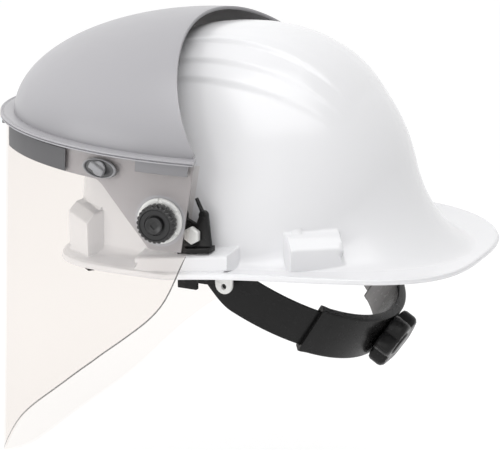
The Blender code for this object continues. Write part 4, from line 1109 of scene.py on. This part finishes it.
def nape_section(angle, side, inner, outer, low, high, radius):
    """Rounded section of a ribbon on the nape oval."""
    outline = rounded(((inner, low), (inner, high), (outer, high), (outer, low)), radius)
    return [nape_point(angle, side, offset, height) for offset, height in outline]


class HARDHAT_OT_nape(Operator):
    """Nape straps, ratchet sleeve, pinion and lobed knob"""

    bl_idname = "hard_hat.nape"
    bl_label = "Nape ratchet"

    def execute(self, context):
        for name, side in SIDES.items():
            self.tail(name, side)
        self.sleeve()
        self.knob()
        finer("ratchet_pinion", "nape_dial", "fitting_white", bevel=0.0002)
        return {"FINISHED"}

    def painted_reflection_side(self, piece):
        """Vertices on the side of a piece that faces the head, which get the painted reflection."""
        middle = nape_matrix().translation
        facing = []
        for vertex in piece.data.vertices:
            if vertex.normal.dot((middle - vertex.co).normalized()) > REFLECTION_FACING:
                facing.append(vertex.index)
        return facing

    def tail(self, name, side):
        """Flexible tail that narrows to its rack inside the sleeve."""
        sections = []
        angles = spread(TAIL_START, TAIL_NECK[0], count=60)
        angles += spread(TAIL_NECK[1], TAIL_END, count=24)
        for angle in angles:
            share = min(max((angle - TAIL_NECK[0]) / (TAIL_NECK[1] - TAIL_NECK[0]), 0.0), 1.0)
            widened = ease((angle - TAIL_START) / (TAIL_FULL - TAIL_START))
            half = TAIL_WIDTH / 2 * (TAIL_ROOT_SHARE + (1 - TAIL_ROOT_SHARE) * widened)
            low = -half
            high = half
            if side < 0:
                high += (-RACK_INNER - half) * share
            else:
                low += (RACK_INNER + half) * share
            inner = -TAIL_THICKNESS / 2
            sections.append(nape_section(angle, side, inner, -inner, low, high, TAIL_ROUND))
        piece = smooth(sweep(f"tail_{name}", sections))
        # Painted reflection: the tail's face toward the head is lightened to light grey.
        paint_light_and_shade(piece, self.painted_reflection_side(piece), INSIDE_PAINTED_REFLECTION)
        piece.data.materials.append(bpy.data.materials["black_plastic_finish"])
        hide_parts(f"nape_strap_{name}")
        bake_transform(piece)

    def sleeve(self):
        """Hollow sleeve with a thick lip at both mouths; a painted reflection lightens its inside toward its
        mouths.
        """
        outer = []
        inner = []
        gap = SLOT_HALF_THICKNESS
        for k, angle in enumerate(spread(SLEEVE_START, 180 - SLEEVE_START, SLEEVE_STATIONS)):
            lip = SLEEVE_LIP * (1 - ease((min(k, SLEEVE_STATIONS - k) - 1) / 2))
            half = SLEEVE_HEIGHT / 2 + lip
            outer.append(nape_section(
                angle, 1.0, SLEEVE_FACE - lip, SLEEVE_BACK + lip, -half, half, SLEEVE_ROUND))
            inner.append(nape_section(
                angle, 1.0, -gap, gap, -SLOT_HALF_HEIGHT, SLOT_HALF_HEIGHT, SLOT_ROUND))
        rings = [*outer, *reversed(inner), outer[0]]
        piece = skin("nape_sleeve", [[*ring, ring[0]] for ring in rings])
        painted_reflection_side = self.painted_reflection_side(piece)
        paint_light_and_shade(piece, painted_reflection_side, 0.0)
        to_nape = nape_matrix().inverted()
        reach = max(abs((to_nape @ vertex.co).y) for vertex in piece.data.vertices)
        # Painted reflection: the sleeve's inside lightens toward its mouths.
        for index in painted_reflection_side:
            aside = abs((to_nape @ piece.data.vertices[index].co).y) / reach
            share = ease((aside - REFLECTION_START) / REFLECTION_FADE)
            piece.data.attributes["shade"].data[index].value = INSIDE_PAINTED_REFLECTION * share
        dress(smooth(piece), "nape_sleeve", "black_plastic", "ratchet_sleeve")

    def knob(self):
        """Lobed knob: deep scallops between round lobes, with a raised hub."""
        axis = (nape_matrix().to_3x3() @ Vector((1, 0, 0))).normalized()
        origin = nape_matrix() @ Vector((NAPE_REACH, 0, 0))
        start = SLEEVE_BACK + SEAT_GAP
        end = start + KNOB_DEPTH
        rim = KNOB_RADIUS
        profile = [
            (0.0, TAIL_THICKNESS / 2 + SEAT_GAP), (KNOB_SHAFT_RADIUS, TAIL_THICKNESS / 2 + SEAT_GAP),
            (KNOB_SHAFT_RADIUS, start), (rim - 0.0025, start), (rim - 0.0008, start + 0.0006),
            (rim, start + 0.0022), (rim, end - 0.0042), (rim - 0.0006, end - 0.0024),
            (rim - 0.0022, end - 0.0010), (rim - 0.0050, end - 0.0004), (0.0085, end - 0.0012),
            (0.0080, end - 0.0004), (0.0074, end), (0.0, end),
        ]
        knob = lathe("nape_knob", profile, steps=144)

        def scallop(radius, turn):
            wave = 0.5 + 0.5 * math.cos(KNOB_LOBES * turn)
            share = max(radius - SCALLOP_START, 0.0) / (rim - SCALLOP_START)
            return 1 - SCALLOP_DEPTH * (1 - wave**0.6) * share

        scaled_round(knob, scallop)
        knob.data.transform(frame_matrix(origin, axis, Vector((0, 1, 0))))
        dress(smooth(knob), "nape_dial", "black_plastic", "ratchet_knob")


def shield_matrix():
    """Frame of the shield: origin in the middle of the ledge's plane."""
    origin = Vector((PIVOT[0] - SHIELD_BEHIND, 0, PIVOT[2] + LEDGE_ABOVE_PIVOT))
    return Matrix.Translation(origin) @ Matrix.Rotation(math.radians(SHIELD_LEAN), 4, "Y")


def shield_point(theta, offset, z):
    """Point on the shield's oval at an angle from the front in degrees, left side positive."""
    turn = math.radians(theta)
    x = -SHIELD_HALF_LENGTH * math.cos(turn)
    y = -SHIELD_HALF_WIDTH * math.sin(turn)
    normal = Vector((x / SHIELD_HALF_LENGTH**2, y / SHIELD_HALF_WIDTH**2, 0)).normalized()
    return shield_matrix() @ (Vector((x, y, z)) + normal * offset)


def shield_frame(theta, offset, z):
    """Frame on the shield's oval: local Z out, local X up."""
    turn = math.radians(theta)
    rotation = shield_matrix().to_3x3()
    normal = rotation @ Vector((-math.cos(turn) / SHIELD_HALF_LENGTH, -math.sin(turn) / SHIELD_HALF_WIDTH, 0))
    return frame_matrix(shield_point(theta, offset, z), normal, rotation @ Vector((0, 0, 1)))


def pivot_theta():
    """Angle on the shield's oval and depth where the pivot axis meets the ear."""
    local = shield_matrix().inverted() @ Vector(PIVOT)
    return math.degrees(math.acos(-local.x / SHIELD_HALF_LENGTH)), local.z


def ear_face():
    """Offset of the band's and ears' outer face from the visor's outer face."""
    return -VISOR_THICKNESS - SEAT_GAP


def interpolate(points, at):
    """Read a smooth curve through (position, value) points, level at its start."""
    at = min(max(at, points[0][0]), points[-1][0])
    k = next(i for i in range(len(points) - 1) if at <= points[i + 1][0])
    before = points[k - 1] if k else (-points[1][0], points[1][1])
    start = points[k]
    end = points[k + 1]
    after = points[min(k + 2, len(points) - 1)]
    span = end[0] - start[0]
    slope_in = (end[1] - before[1]) / (end[0] - before[0])
    slope_out = (after[1] - start[1]) / (after[0] - start[0])
    t = (at - start[0]) / span
    value = start[1] * (2 * t**3 - 3 * t**2 + 1) + end[1] * (3 * t**2 - 2 * t**3)
    return value + span * (slope_in * (t**3 - 2 * t**2 + t) + slope_out * (t**3 - t**2))


def slanted(theta, z):
    """Angle on the oval, moved forward with depth on an ear so that its rear edge leans."""
    share = max((abs(theta) - EAR_FRONT[0]) / (SHIELD_EDGE - EAR_FRONT[0]), 0.0)
    depth = min(max(-z / EAR_DEPTH, 0.0), 1.0)
    return theta - math.copysign(EAR_SLANT * share * depth, theta)


def band_drop(theta):
    """Depth of the band and ears below the ledge, with a soft bend where the ear starts."""
    span = EAR_FRONT[1] - EAR_FRONT[0]
    share = (abs(theta) - EAR_FRONT[0]) / span
    soft = 0.10
    if share <= -soft:
        share = 0.0
    elif share < soft:
        share = (share + soft) ** 2 / (4 * soft)
    return BAND_DEPTH + (EAR_DEPTH - BAND_DEPTH) * min(share, 1.0)


def rim_point(phi):
    """Point of the crown guard's rear rim, 0 at the top, -90 and 90 at the ears' top."""
    end = shield_point(SHIELD_EDGE, -CROWN_INSET, LEDGE_THICKNESS + RIM_END_RISE)
    apex_z = DOME_BASE_Z + DOME_HEIGHT + CROWN_GAP
    turn = math.radians(phi)
    bow = RIM_BOW * (1 + math.cos(2 * turn)) - RIM_WAVE * math.cos(3 * turn)
    x = end.x - RIM_SWEEP * math.cos(turn) + bow
    return Vector((x, end.y * math.sin(turn), end.z + (apex_z - end.z) * math.cos(turn)))


def crown_column(theta, rows):
    """Quarter ellipse from the rim down to the ledge at one angle."""
    foot = shield_point(theta, -CROWN_INSET, LEDGE_THICKNESS * 0.3)
    span = rim_point(90 * theta / SHIELD_EDGE) - foot
    column = []
    for k in range(rows + 1):
        turn = math.pi / 2 * (1 - k / rows)
        back = 1 - math.cos(turn)
        column.append(foot + Vector((span.x * back, span.y * back, span.z * math.sin(turn))))
    return column


def bar_outline(face, low, high, radius):
    """Rounded outline of a bar that lies on the visor's outer face."""
    return rounded(((SEAT_GAP, low), (face, low), (face, high), (SEAT_GAP, high)), radius)


def oval_section(theta, outline):
    """An outline of (offset, z) at one angle of the shield's oval."""
    return [shield_point(slanted(theta, z), offset, z) for offset, z in outline]


def arc_bar(name, start, end, count, outline):
    """Sweep an outline of (offset, z) round the shield's oval."""
    return sweep(name, [oval_section(theta, outline) for theta in spread(start, end, count)])


class HARDHAT_OT_crown_guard(Operator):
    """Grey crown guard: dome, ledge, band, ears with a return lip, and hook bars"""

    bl_idname = "hard_hat.crown_guard"
    bl_label = "Crown guard"

    def execute(self, context):
        colour = context.scene.hard_hat_shield.crown_colour
        moulded("crown_grey", colour, roughness=0.34,
                grain_scale=900.0, grain_depth=0.00001, mottle=0.03, coat=0.10)
        pieces = [self.dome(), self.ledge()]
        hook = bar_outline(SEAT_GAP + HOOK_THICKNESS, -HOOK_HEIGHT, LEDGE_THICKNESS / 2, radius=0.0005)
        front = arc_bar("hook_front", -HOOK_FRONT_SPAN, HOOK_FRONT_SPAN, count=48, outline=hook)
        # Painted shade: the hook bars under the ledge are darkened.
        pieces.append(paint_light_and_shade(front, range(len(front.data.vertices)), HOOK_SHADE))
        for name, side in SIDES.items():
            start, end = (-side * limit for limit in HOOK_EAR_SPAN)
            rear = arc_bar(f"hook_{name}", start, end, count=16, outline=hook)
            pieces.append(paint_light_and_shade(rear, range(len(rear.data.vertices)), HOOK_SHADE))
            pieces.append(self.return_lip(name, side))
        guard = joined([smooth(piece, angle=42.0) for piece in pieces])
        guard.name = "grey_crown"
        dress(guard, "face_shield", "crown_grey", "crown_guard")
        return {"FINISHED"}

    def dome(self):
        """Thin dome with a rounded rear rim, with painted shade on its inside and toward its foot."""
        edge = SHIELD_EDGE - RIM_END
        columns = [crown_column(theta, rows=48) for theta in spread(-edge, edge, count=160)]
        dome = skin("crown_dome", list(zip(*columns)))
        faced_out(dome, dome.data.polygons[0], CROWN_MIDDLE)
        applied(dome, "SOLIDIFY", thickness=CROWN_WALL, offset=-1.0)
        applied(dome, "BEVEL", width=0.0006, segments=3, limit_method="ANGLE", angle_limit=math.radians(60))
        points = dome.data.vertices
        # Painted shade: the dome's inner face is darkened.
        inner = {vertex.index for vertex in points if vertex.normal.dot(vertex.co - CROWN_MIDDLE) < 0}
        paint_light_and_shade(dome, inner, INNER_SHADE)
        # Painted shade: the outer face darkens toward its foot over the ledge.
        to_shield = shield_matrix().inverted()
        for vertex in points:
            height = (to_shield @ vertex.co).z
            if vertex.index not in inner and height < FOOT_SHADE_HEIGHT:
                painted_foot_shade = FOOT_SHADE * (1 - max(height, 0.0) / FOOT_SHADE_HEIGHT) ** 2
                dome.data.attributes["shade"].data[vertex.index].value = painted_foot_shade
        return dome

    def ledge(self):
        """Ledge with a bead, band under it and the ears, which carry painted light."""
        inner = -CROWN_INSET - CROWN_WALL - 0.0008
        face = ear_face()
        thick = LEDGE_THICKNESS
        bend = EAR_FRONT[0] - 3
        ear_angles = spread(bend, SHIELD_EDGE, count=36)
        angles = sorted({*spread(-bend, bend, count=100), *ear_angles, *(-angle for angle in ear_angles)})
        sections = []
        for theta in angles:
            low = -band_drop(theta)
            corners = (
                (inner, thick), (LEDGE_REACH - 0.0024, thick), (LEDGE_REACH - 0.0020, thick - 0.0005),
                (LEDGE_REACH - 0.0014, thick - 0.0005), (LEDGE_REACH - 0.0010, thick + 0.0001),
                (LEDGE_REACH, thick), (LEDGE_REACH, thick * 0.60), (LEDGE_REACH - 0.0011, thick * 0.52),
                (LEDGE_REACH - 0.0011, thick * 0.40), (LEDGE_REACH, thick * 0.32), (LEDGE_REACH, 0.0),
                (face, 0.0), (face, low), (face - BAND_WALL, low),
                (face - BAND_WALL, -thick / 2), (inner, 0.0),
            )
            sections.append(oval_section(theta, rounded(corners, radius=0.0002, steps=2)))
        ledge = sweep("crown_ledge", sections)
        # Painted light: the ears below the band are lightened.
        to_shield = shield_matrix().inverted()
        ears = []
        for vertex in ledge.data.vertices:
            if (to_shield @ vertex.co).z < -BAND_DEPTH * 1.05:
                ears.append(vertex.index)
        return paint_light_and_shade(ledge, ears, EAR_PAINTED_LIGHT)

    def return_lip(self, name, side):
        """Flange that turns in along the rear edge of an ear."""
        inside = ear_face() - BAND_WALL
        outline = rounded((
            (inside + BAND_WALL / 2, -EAR_DEPTH), (inside + BAND_WALL / 2, 0.0),
            (inside - EAR_LIP, -BAND_DEPTH), (inside - EAR_LIP * 0.4, -EAR_DEPTH)), radius=0.0006)
        edge = -side * (SHIELD_EDGE - RIM_END / 2)
        inner = edge + side * math.degrees(BAND_WALL / SHIELD_HALF_WIDTH)
        return arc_bar(f"return_lip_{name}", edge, inner, count=3, outline=outline)


class HARDHAT_OT_visor(Operator):
    """Clear visor with its cut edges and the holes at the pivots"""

    bl_idname = "hard_hat.visor"
    bl_label = "Visor"

    def execute(self, context):
        clear_finish(context.scene.hard_hat_shield)
        clear_edge_finish()
        columns = []
        for theta in spread(-VISOR_EDGE, VISOR_EDGE, VISOR_COLUMNS):
            height = interpolate(VISOR_DROPS, abs(theta)) - SEAT_GAP
            ahead = interpolate(VISOR_DROPS, abs(theta) + VISOR_SLOPE_STEP) - SEAT_GAP
            steepness = (height - ahead) / (SHIELD_HALF_LENGTH * math.radians(VISOR_SLOPE_STEP))
            strip = EDGE_STRIP * min(math.hypot(1.0, steepness), EDGE_STRIP_STRETCH)
            levels = [-SEAT_GAP - (height - strip) * k / VISOR_ROWS for k in range(VISOR_ROWS + 1)]
            levels.append(-SEAT_GAP - height)
            columns.append([shield_point(slanted(theta, z), 0.0, z) for z in levels])
        visor = skin("clear_visor", list(zip(*columns)))
        middle = visor.data.polygons[len(visor.data.polygons) // 2]
        faced_out(visor, middle, Vector((CROWN_MIDDLE.x, 0, middle.center.z)))
        dress(visor, "face_shield", "visor_clear", "visor")
        visor.data.materials.append(bpy.data.materials["visor_edge_finish"])
        for face in visor.data.polygons[-VISOR_COLUMNS:]:
            face.material_index = 1
        applied(visor, "SOLIDIFY", thickness=VISOR_THICKNESS, offset=-1.0)
        for face in visor.data.polygons:
            if face.normal.dot(face.center - Vector((CROWN_MIDDLE.x, 0, face.center.z))) < OUTWARD_LEAST:
                face.material_index = 0
        visor.visible_shadow = False
        theta, z = pivot_theta()
        for side in SIDES.values():
            rest()
            bpy.ops.mesh.primitive_cylinder_add(vertices=72, radius=VISOR_HOLE_RADIUS, depth=0.012)
            cutter = bpy.context.object
            cutter.data.materials.append(bpy.data.materials["visor_clear_finish"])
            cutter.data.transform(shield_frame(-side * theta, 0.0, z))
            carved(visor, cutter, material_mode="TRANSFER")
        smooth(visor, angle=40.0)
        return {"FINISHED"}


class HARDHAT_OT_label(Operator):
    """Bare dark label plate on the left of the band"""

    bl_idname = "hard_hat.label"
    bl_label = "Label plate"

    def execute(self, context):
        colour = context.scene.hard_hat_shield.label_colour
        moulded("label_dark", colour, roughness=0.5, grain_scale=1500.0, grain_depth=0.00002, mottle=0.10)
        outline = bar_outline(SEAT_GAP + LABEL_THICKNESS, -LABEL_BOTTOM, -LABEL_TOP, radius=0.0002)
        plate = smooth(arc_bar("dark_label", *LABEL_SPAN, count=40, outline=outline))
        dress(plate, "face_shield", "label_dark", "label_plate")
        return {"FINISHED"}


class HARDHAT_OT_locks(Operator):
    """Twist locks: oval plates, ridged buttons and the bars behind the band"""

    bl_idname = "hard_hat.locks"
    bl_label = "Twist locks"

    def execute(self, context):
        colour = context.scene.hard_hat_fittings.lock_colour
        moulded("lock_grey", colour, roughness=0.34,
                grain_scale=1100.0, grain_depth=0.000015, mottle=0.05, coat=0.1)
        for name, side in SIDES.items():
            seat = shield_frame(-side * TWIST_ANGLE, SEAT_GAP, -TWIST_DROP)
            seat = seat @ Matrix.Rotation(math.pi / 2, 4, "Z")
            self.plate(name, seat)
            self.button(name, seat @ Matrix.Rotation(math.radians(side * TWIST_REST), 4, "Z"))
            finer(f"twist_bar_{name}", f"{name}_lock", "lock_grey", bevel=0.0004)
        return {"FINISHED"}

    def plate(self, name, seat):
        """Oval plate with a rounded rim and a shallow dish whose floor carries painted shade."""
        bore = TWIST_SHANK_RADIUS + 0.0005
        top = PLATE_HEIGHT
        floor = top - DISH_DEPTH
        profile = [
            (bore, 0.0), (1.0, 0.0), (1.0, top - 0.0007), (0.985, top - 0.0003), (0.95, top),
            (0.91, top), (0.88, top - 0.0003), (0.86, floor), (0.5, floor), (bore, floor), (bore, 0.0),
        ]
        plate = lathe(f"oval_plate_{name}", profile, steps=96)

        def oval(radius, turn):
            if radius < bore * 1.5:
                return 1.0
            return 1 / math.hypot(math.cos(turn) / PLATE_HALF_LENGTH, math.sin(turn) / PLATE_HALF_WIDTH)

        scaled_round(plate, oval)
        # Painted shade: the dish floor is darkened.
        sunk = [vertex.index for vertex in plate.data.vertices if vertex.co.z < top - 0.0009]
        paint_light_and_shade(plate, sunk, DISH_SHADE)
        plate.data.transform(seat)
        dress(smooth(plate), "face_shield", "lock_grey", f"lock_plate_{name}")

    def button(self, name, seat):
        """Round button with a grip ridge across it."""
        base = PLATE_HEIGHT - 0.0010
        top = PLATE_HEIGHT + 0.0006
        back = ear_face() - BAND_WALL - 3 * SEAT_GAP
        rim = TWIST_RADIUS - 0.0005
        profile = [
            (0.0, back), (TWIST_SHANK_RADIUS, back), (TWIST_SHANK_RADIUS, base), (rim - 0.0003, base),
            (rim, base + 0.0003), (rim, top - 0.0006), (rim - 0.0002, top - 0.0002), (rim - 0.0006, top),
            (0.0, top),
        ]
        button = lathe(f"twist_button_{name}", profile, steps=72)
        rest()
        bpy.ops.mesh.primitive_cube_add(size=1.0)
        ridge = bpy.context.object
        height = TWIST_HEIGHT + TWIST_RIDGE_HEIGHT - DISH_DEPTH
        size = Matrix.Diagonal((2 * TWIST_RADIUS + 0.0006, 1.4 * TWIST_RIDGE_WIDTH, height, 1.0))
        ridge.data.transform(Matrix.Translation((0, 0, PLATE_HEIGHT + SEAT_GAP + height / 2)) @ size)
        applied(ridge, "BEVEL", width=0.0008, segments=4, limit_method="NONE")
        piece = joined([button, ridge])
        piece.data.transform(seat)
        dress(smooth(piece), f"{name}_lock", "lock_grey", f"twist_lock_{name}")


class HARDHAT_OT_pivots(Operator):
    """Pivots: white segmented rings, dark serrated knobs and their hubs"""

    bl_idname = "hard_hat.pivots"
    bl_label = "Pivots"

    def execute(self, context):
        colour = context.scene.hard_hat_fittings.knob_colour
        moulded("knob_dark", colour, roughness=0.30, grain_scale=1100.0, grain_depth=0.00002, mottle=0.08)
        theta, z = pivot_theta()
        for name, side in SIDES.items():
            seat = shield_frame(-side * theta, ear_face() + SEAT_GAP, z)
            self.ring(name, seat)
            self.knob(name, seat)
            self.hub(name, seat)
        return {"FINISHED"}

    def ring(self, name, seat):
        """Ring with notches through its rim."""
        top = RING_HEIGHT
        rim = RING_RADIUS
        profile = [
            (RING_BORE, 0.0), (rim, 0.0), (rim, top - 0.0007), (rim - 0.0003, top - 0.0002),
            (rim - 0.0008, top), (GRIP_RADIUS, top), (RING_BORE, top), (RING_BORE, 0.0),
        ]
        ring = lathe(f"white_ring_{name}", profile, steps=180)
        for vertex in ring.data.vertices:
            radius = math.hypot(vertex.co.x, vertex.co.y)
            turn = math.atan2(vertex.co.y, vertex.co.x)
            nearest = round(turn / (2 * math.pi / RING_GAPS)) * 2 * math.pi / RING_GAPS
            if radius > GRIP_RADIUS + 0.0002 and abs(turn - nearest) * radius < RING_NOTCH / 2:
                vertex.co.z = min(vertex.co.z, top * 0.3)
        ring.data.transform(seat)
        dress(smooth(ring), "face_shield", "fitting_white", f"pivot_ring_{name}")

    def knob(self, name, seat):
        """Serrated knob with a sunk face."""
        base = RING_HEIGHT + SEAT_GAP
        top = base + GRIP_HEIGHT
        rim = GRIP_RADIUS
        pocket = RING_BORE
        profile = [
            (pocket, base), (rim - 0.0012, base), (rim - 0.0003, base + 0.0004), (rim, base + 0.0012),
            (rim, top - 0.0016), (rim - 0.0003, top - 0.0008), (rim - 0.0010, top - 0.0002),
            (rim - 0.0016, top), (rim - 0.0022, top), (rim - 0.0026, top - 0.0004),
            (HUB_RADIUS + 0.0010, top - 0.0004),
            (HUB_RADIUS + 0.0008, top - 0.0012), (0.0, top - 0.0012), (0.0, top - 0.0022),
            (pocket, top - 0.0022), (pocket, base),
        ]
        knob = lathe(f"serrated_knob_{name}", profile, steps=GRIP_TEETH * 8)

        def serration(radius, turn):
            if radius <= rim - 0.0011:
                return 1.0
            wave = 0.5 - 0.5 * math.cos(GRIP_TEETH * turn)
            return 1 - GRIP_TOOTH_SCALE * GRIP_TOOTH / rim * wave**2

        scaled_round(knob, serration)
        knob.data.transform(seat)
        dress(smooth(knob), f"{name}_pivot", "knob_dark", f"pivot_knob_{name}")

    def hub(self, name, seat):
        """Dished hub with a square socket."""
        low = RING_HEIGHT + GRIP_HEIGHT + 2 * SEAT_GAP - 0.0008
        high = RING_HEIGHT + GRIP_HEIGHT + 2 * SEAT_GAP + HUB_HEIGHT
        rim = HUB_RADIUS
        profile = [
            (0.0, low), (rim, low), (rim, high - 0.0006), (rim - 0.0003, high - 0.0001), (rim - 0.0007, high),
            (rim - 0.0012, high - 0.0001), (0.0032, high - 0.0008), (0.0, high - 0.0011),
        ]
        hub = lathe(f"dished_hub_{name}", profile, steps=96)
        rest()
        bpy.ops.mesh.primitive_cylinder_add(vertices=4, radius=0.0023, depth=0.0030, location=(0, 0, high))
        socket = bpy.context.object
        carved(hub, socket)
        hub.data.transform(seat)
        dress(smooth(hub), f"{name}_pivot", "knob_dark", f"pivot_cap_{name}")


class HARDHAT_OT_stage(Operator):
    """Pale floor, white surroundings, soft light and the camera"""

    bl_idname = "hard_hat.stage"
    bl_label = "Stage"

    def execute(self, context):
        settings = context.scene.hard_hat_stage
        context.scene.view_settings.view_transform = "Standard"
        self.floor(settings)
        self.surroundings(context.scene, settings)
        for name, place in LAMP_PLACES.items():
            self.softbox(f"{name}_light", getattr(settings, name), place)
        self.camera(context.scene, settings)
        return {"FINISHED"}

    def seen(self, finish):
        """1 for the camera, in reflections and through clear pieces, 0 for light that falls on the hat."""
        total = finish.node("ShaderNodeLightPath", None, None, "Is Camera Ray")
        rays = total.socket.node.outputs
        for ray in ("Is Glossy Ray", "Is Transmission Ray"):
            total = total + Shade(finish, rays[ray])
        return total

    def floor(self, settings):
        """Pale floor just under the visor's lowest point, which looks white and keeps the hat's shadow."""
        rest()
        bpy.ops.mesh.primitive_plane_add(size=FLOOR_SIZE, location=(0, 0, CAD_BOX[0][2] - 0.001))
        floor = bpy.context.object
        floor.name = "floor"
        finish = new_finish("pale_floor")
        tone = 0.99 + finish.noise(scale=3.0, detail=2.0) * 0.02
        base, shade = (
            finish.node("ShaderNodeBsdfDiffuse", None, {"Color": finish.tinted((grey, grey, grey), tone)})
            for grey in (0.94, 0.26))
        glow = finish.node("ShaderNodeEmission", None, {"Color": WHITE, "Strength": settings.floor_glow})
        both = finish.node("ShaderNodeAddShader", None, {0: shade, 1: glow})
        finish.close(finish.node("ShaderNodeMixShader", None, {0: self.seen(finish), 1: base, 2: both}))
        floor.data.materials.append(finish.owner)

    def surroundings(self, scene, settings):
        """World that lights softly and looks white."""
        scene.world = bpy.data.worlds.new("studio")
        sky = Finish(scene.world)
        slope = sky.node("ShaderNodeVectorMath", {"operation": "DOT_PRODUCT"},
                         {0: sky.place("Generated"), 1: settings.drift}, "Value")
        level = slope + settings.ambient
        level = sky.node("ShaderNodeMath", {"operation": "MAXIMUM"}, {0: level, 1: DIMMEST})
        strength = sky.node("ShaderNodeMix", None, {0: self.seen(sky), 2: level, 3: 1.0})
        glow = sky.node("ShaderNodeBackground", None, {"Color": WHITE, "Strength": strength})
        sky.close(glow, "ShaderNodeOutputWorld")

    def softbox(self, name, power, location):
        """Square area lamp that points at the hat."""
        lamp = bpy.data.lights.new(name, "AREA")
        lamp.energy = power
        lamp.size = LAMP_SIZE
        holder = placed(name, lamp)
        holder.location = location
        holder.rotation_euler = (-Vector(location)).to_track_quat("-Z", "Y").to_euler()

    def camera(self, scene, settings):
        """Camera at the picture's place."""
        level = math.cos(settings.elevation)
        back = Vector((math.sin(settings.azimuth) * level, -math.cos(settings.azimuth) * level,
                       math.sin(settings.elevation)))
        lens = bpy.data.cameras.new("camera")
        lens.sensor_width = 36.0
        lens.lens = settings.lens
        lens.clip_start = 0.01
        lens.clip_end = 100.0
        holder = placed("camera", lens)
        holder.location = Vector(settings.target) + back * settings.distance
        holder.rotation_euler = (-back).to_track_quat("-Z", "Y").to_euler()
        scene.camera = holder


OPERATORS = (
    HARDHAT_OT_shell,
    HARDHAT_OT_adapters,
    HARDHAT_OT_suspension,
    HARDHAT_OT_nape,
    HARDHAT_OT_crown_guard,
    HARDHAT_OT_visor,
    HARDHAT_OT_label,
    HARDHAT_OT_locks,
    HARDHAT_OT_pivots,
    HARDHAT_OT_stage,
)
SETTINGS = {
    "hard_hat_shell": ShellSettings,
    "hard_hat_shield": ShieldSettings,
    "hard_hat_fittings": FittingSettings,
    "hard_hat_stage": StageSettings,
}


class HARDHAT_PT_panel(Panel):
    """Lists the pieces and their settings"""

    bl_idname = "HARDHAT_PT_panel"
    bl_label = "Hard Hat"
    bl_space_type = "VIEW_3D"
    bl_region_type = "UI"
    bl_category = "Hard Hat"

    def draw(self, context):
        for operator in OPERATORS:
            self.layout.operator(operator.bl_idname)
        for name, group in SETTINGS.items():
            box = self.layout.box()
            for setting in group.__annotations__:
                box.prop(getattr(context.scene, name), setting)


def register():
    """Register the settings, operators and panel."""
    for group in SETTINGS.values():
        bpy.utils.register_class(group)
    for name, group in SETTINGS.items():
        setattr(bpy.types.Scene, name, PointerProperty(type=group))
    for operator in OPERATORS:
        bpy.utils.register_class(operator)
    bpy.utils.register_class(HARDHAT_PT_panel)


def unregister():
    """Take everything back out."""
    bpy.utils.unregister_class(HARDHAT_PT_panel)
    for operator in reversed(OPERATORS):
        bpy.utils.unregister_class(operator)
    for name, group in SETTINGS.items():
        delattr(bpy.types.Scene, name)
        bpy.utils.unregister_class(group)


def main():
    """Build every piece."""
    register()
    bpy.ops.hard_hat.shell()
    bpy.ops.hard_hat.adapters()
    bpy.ops.hard_hat.suspension()
    bpy.ops.hard_hat.nape()
    bpy.ops.hard_hat.crown_guard()
    bpy.ops.hard_hat.visor()
    bpy.ops.hard_hat.label()
    bpy.ops.hard_hat.locks()
    bpy.ops.hard_hat.pivots()
    bpy.ops.hard_hat.stage()
    rest()


if __name__ == "__main__":
    main()
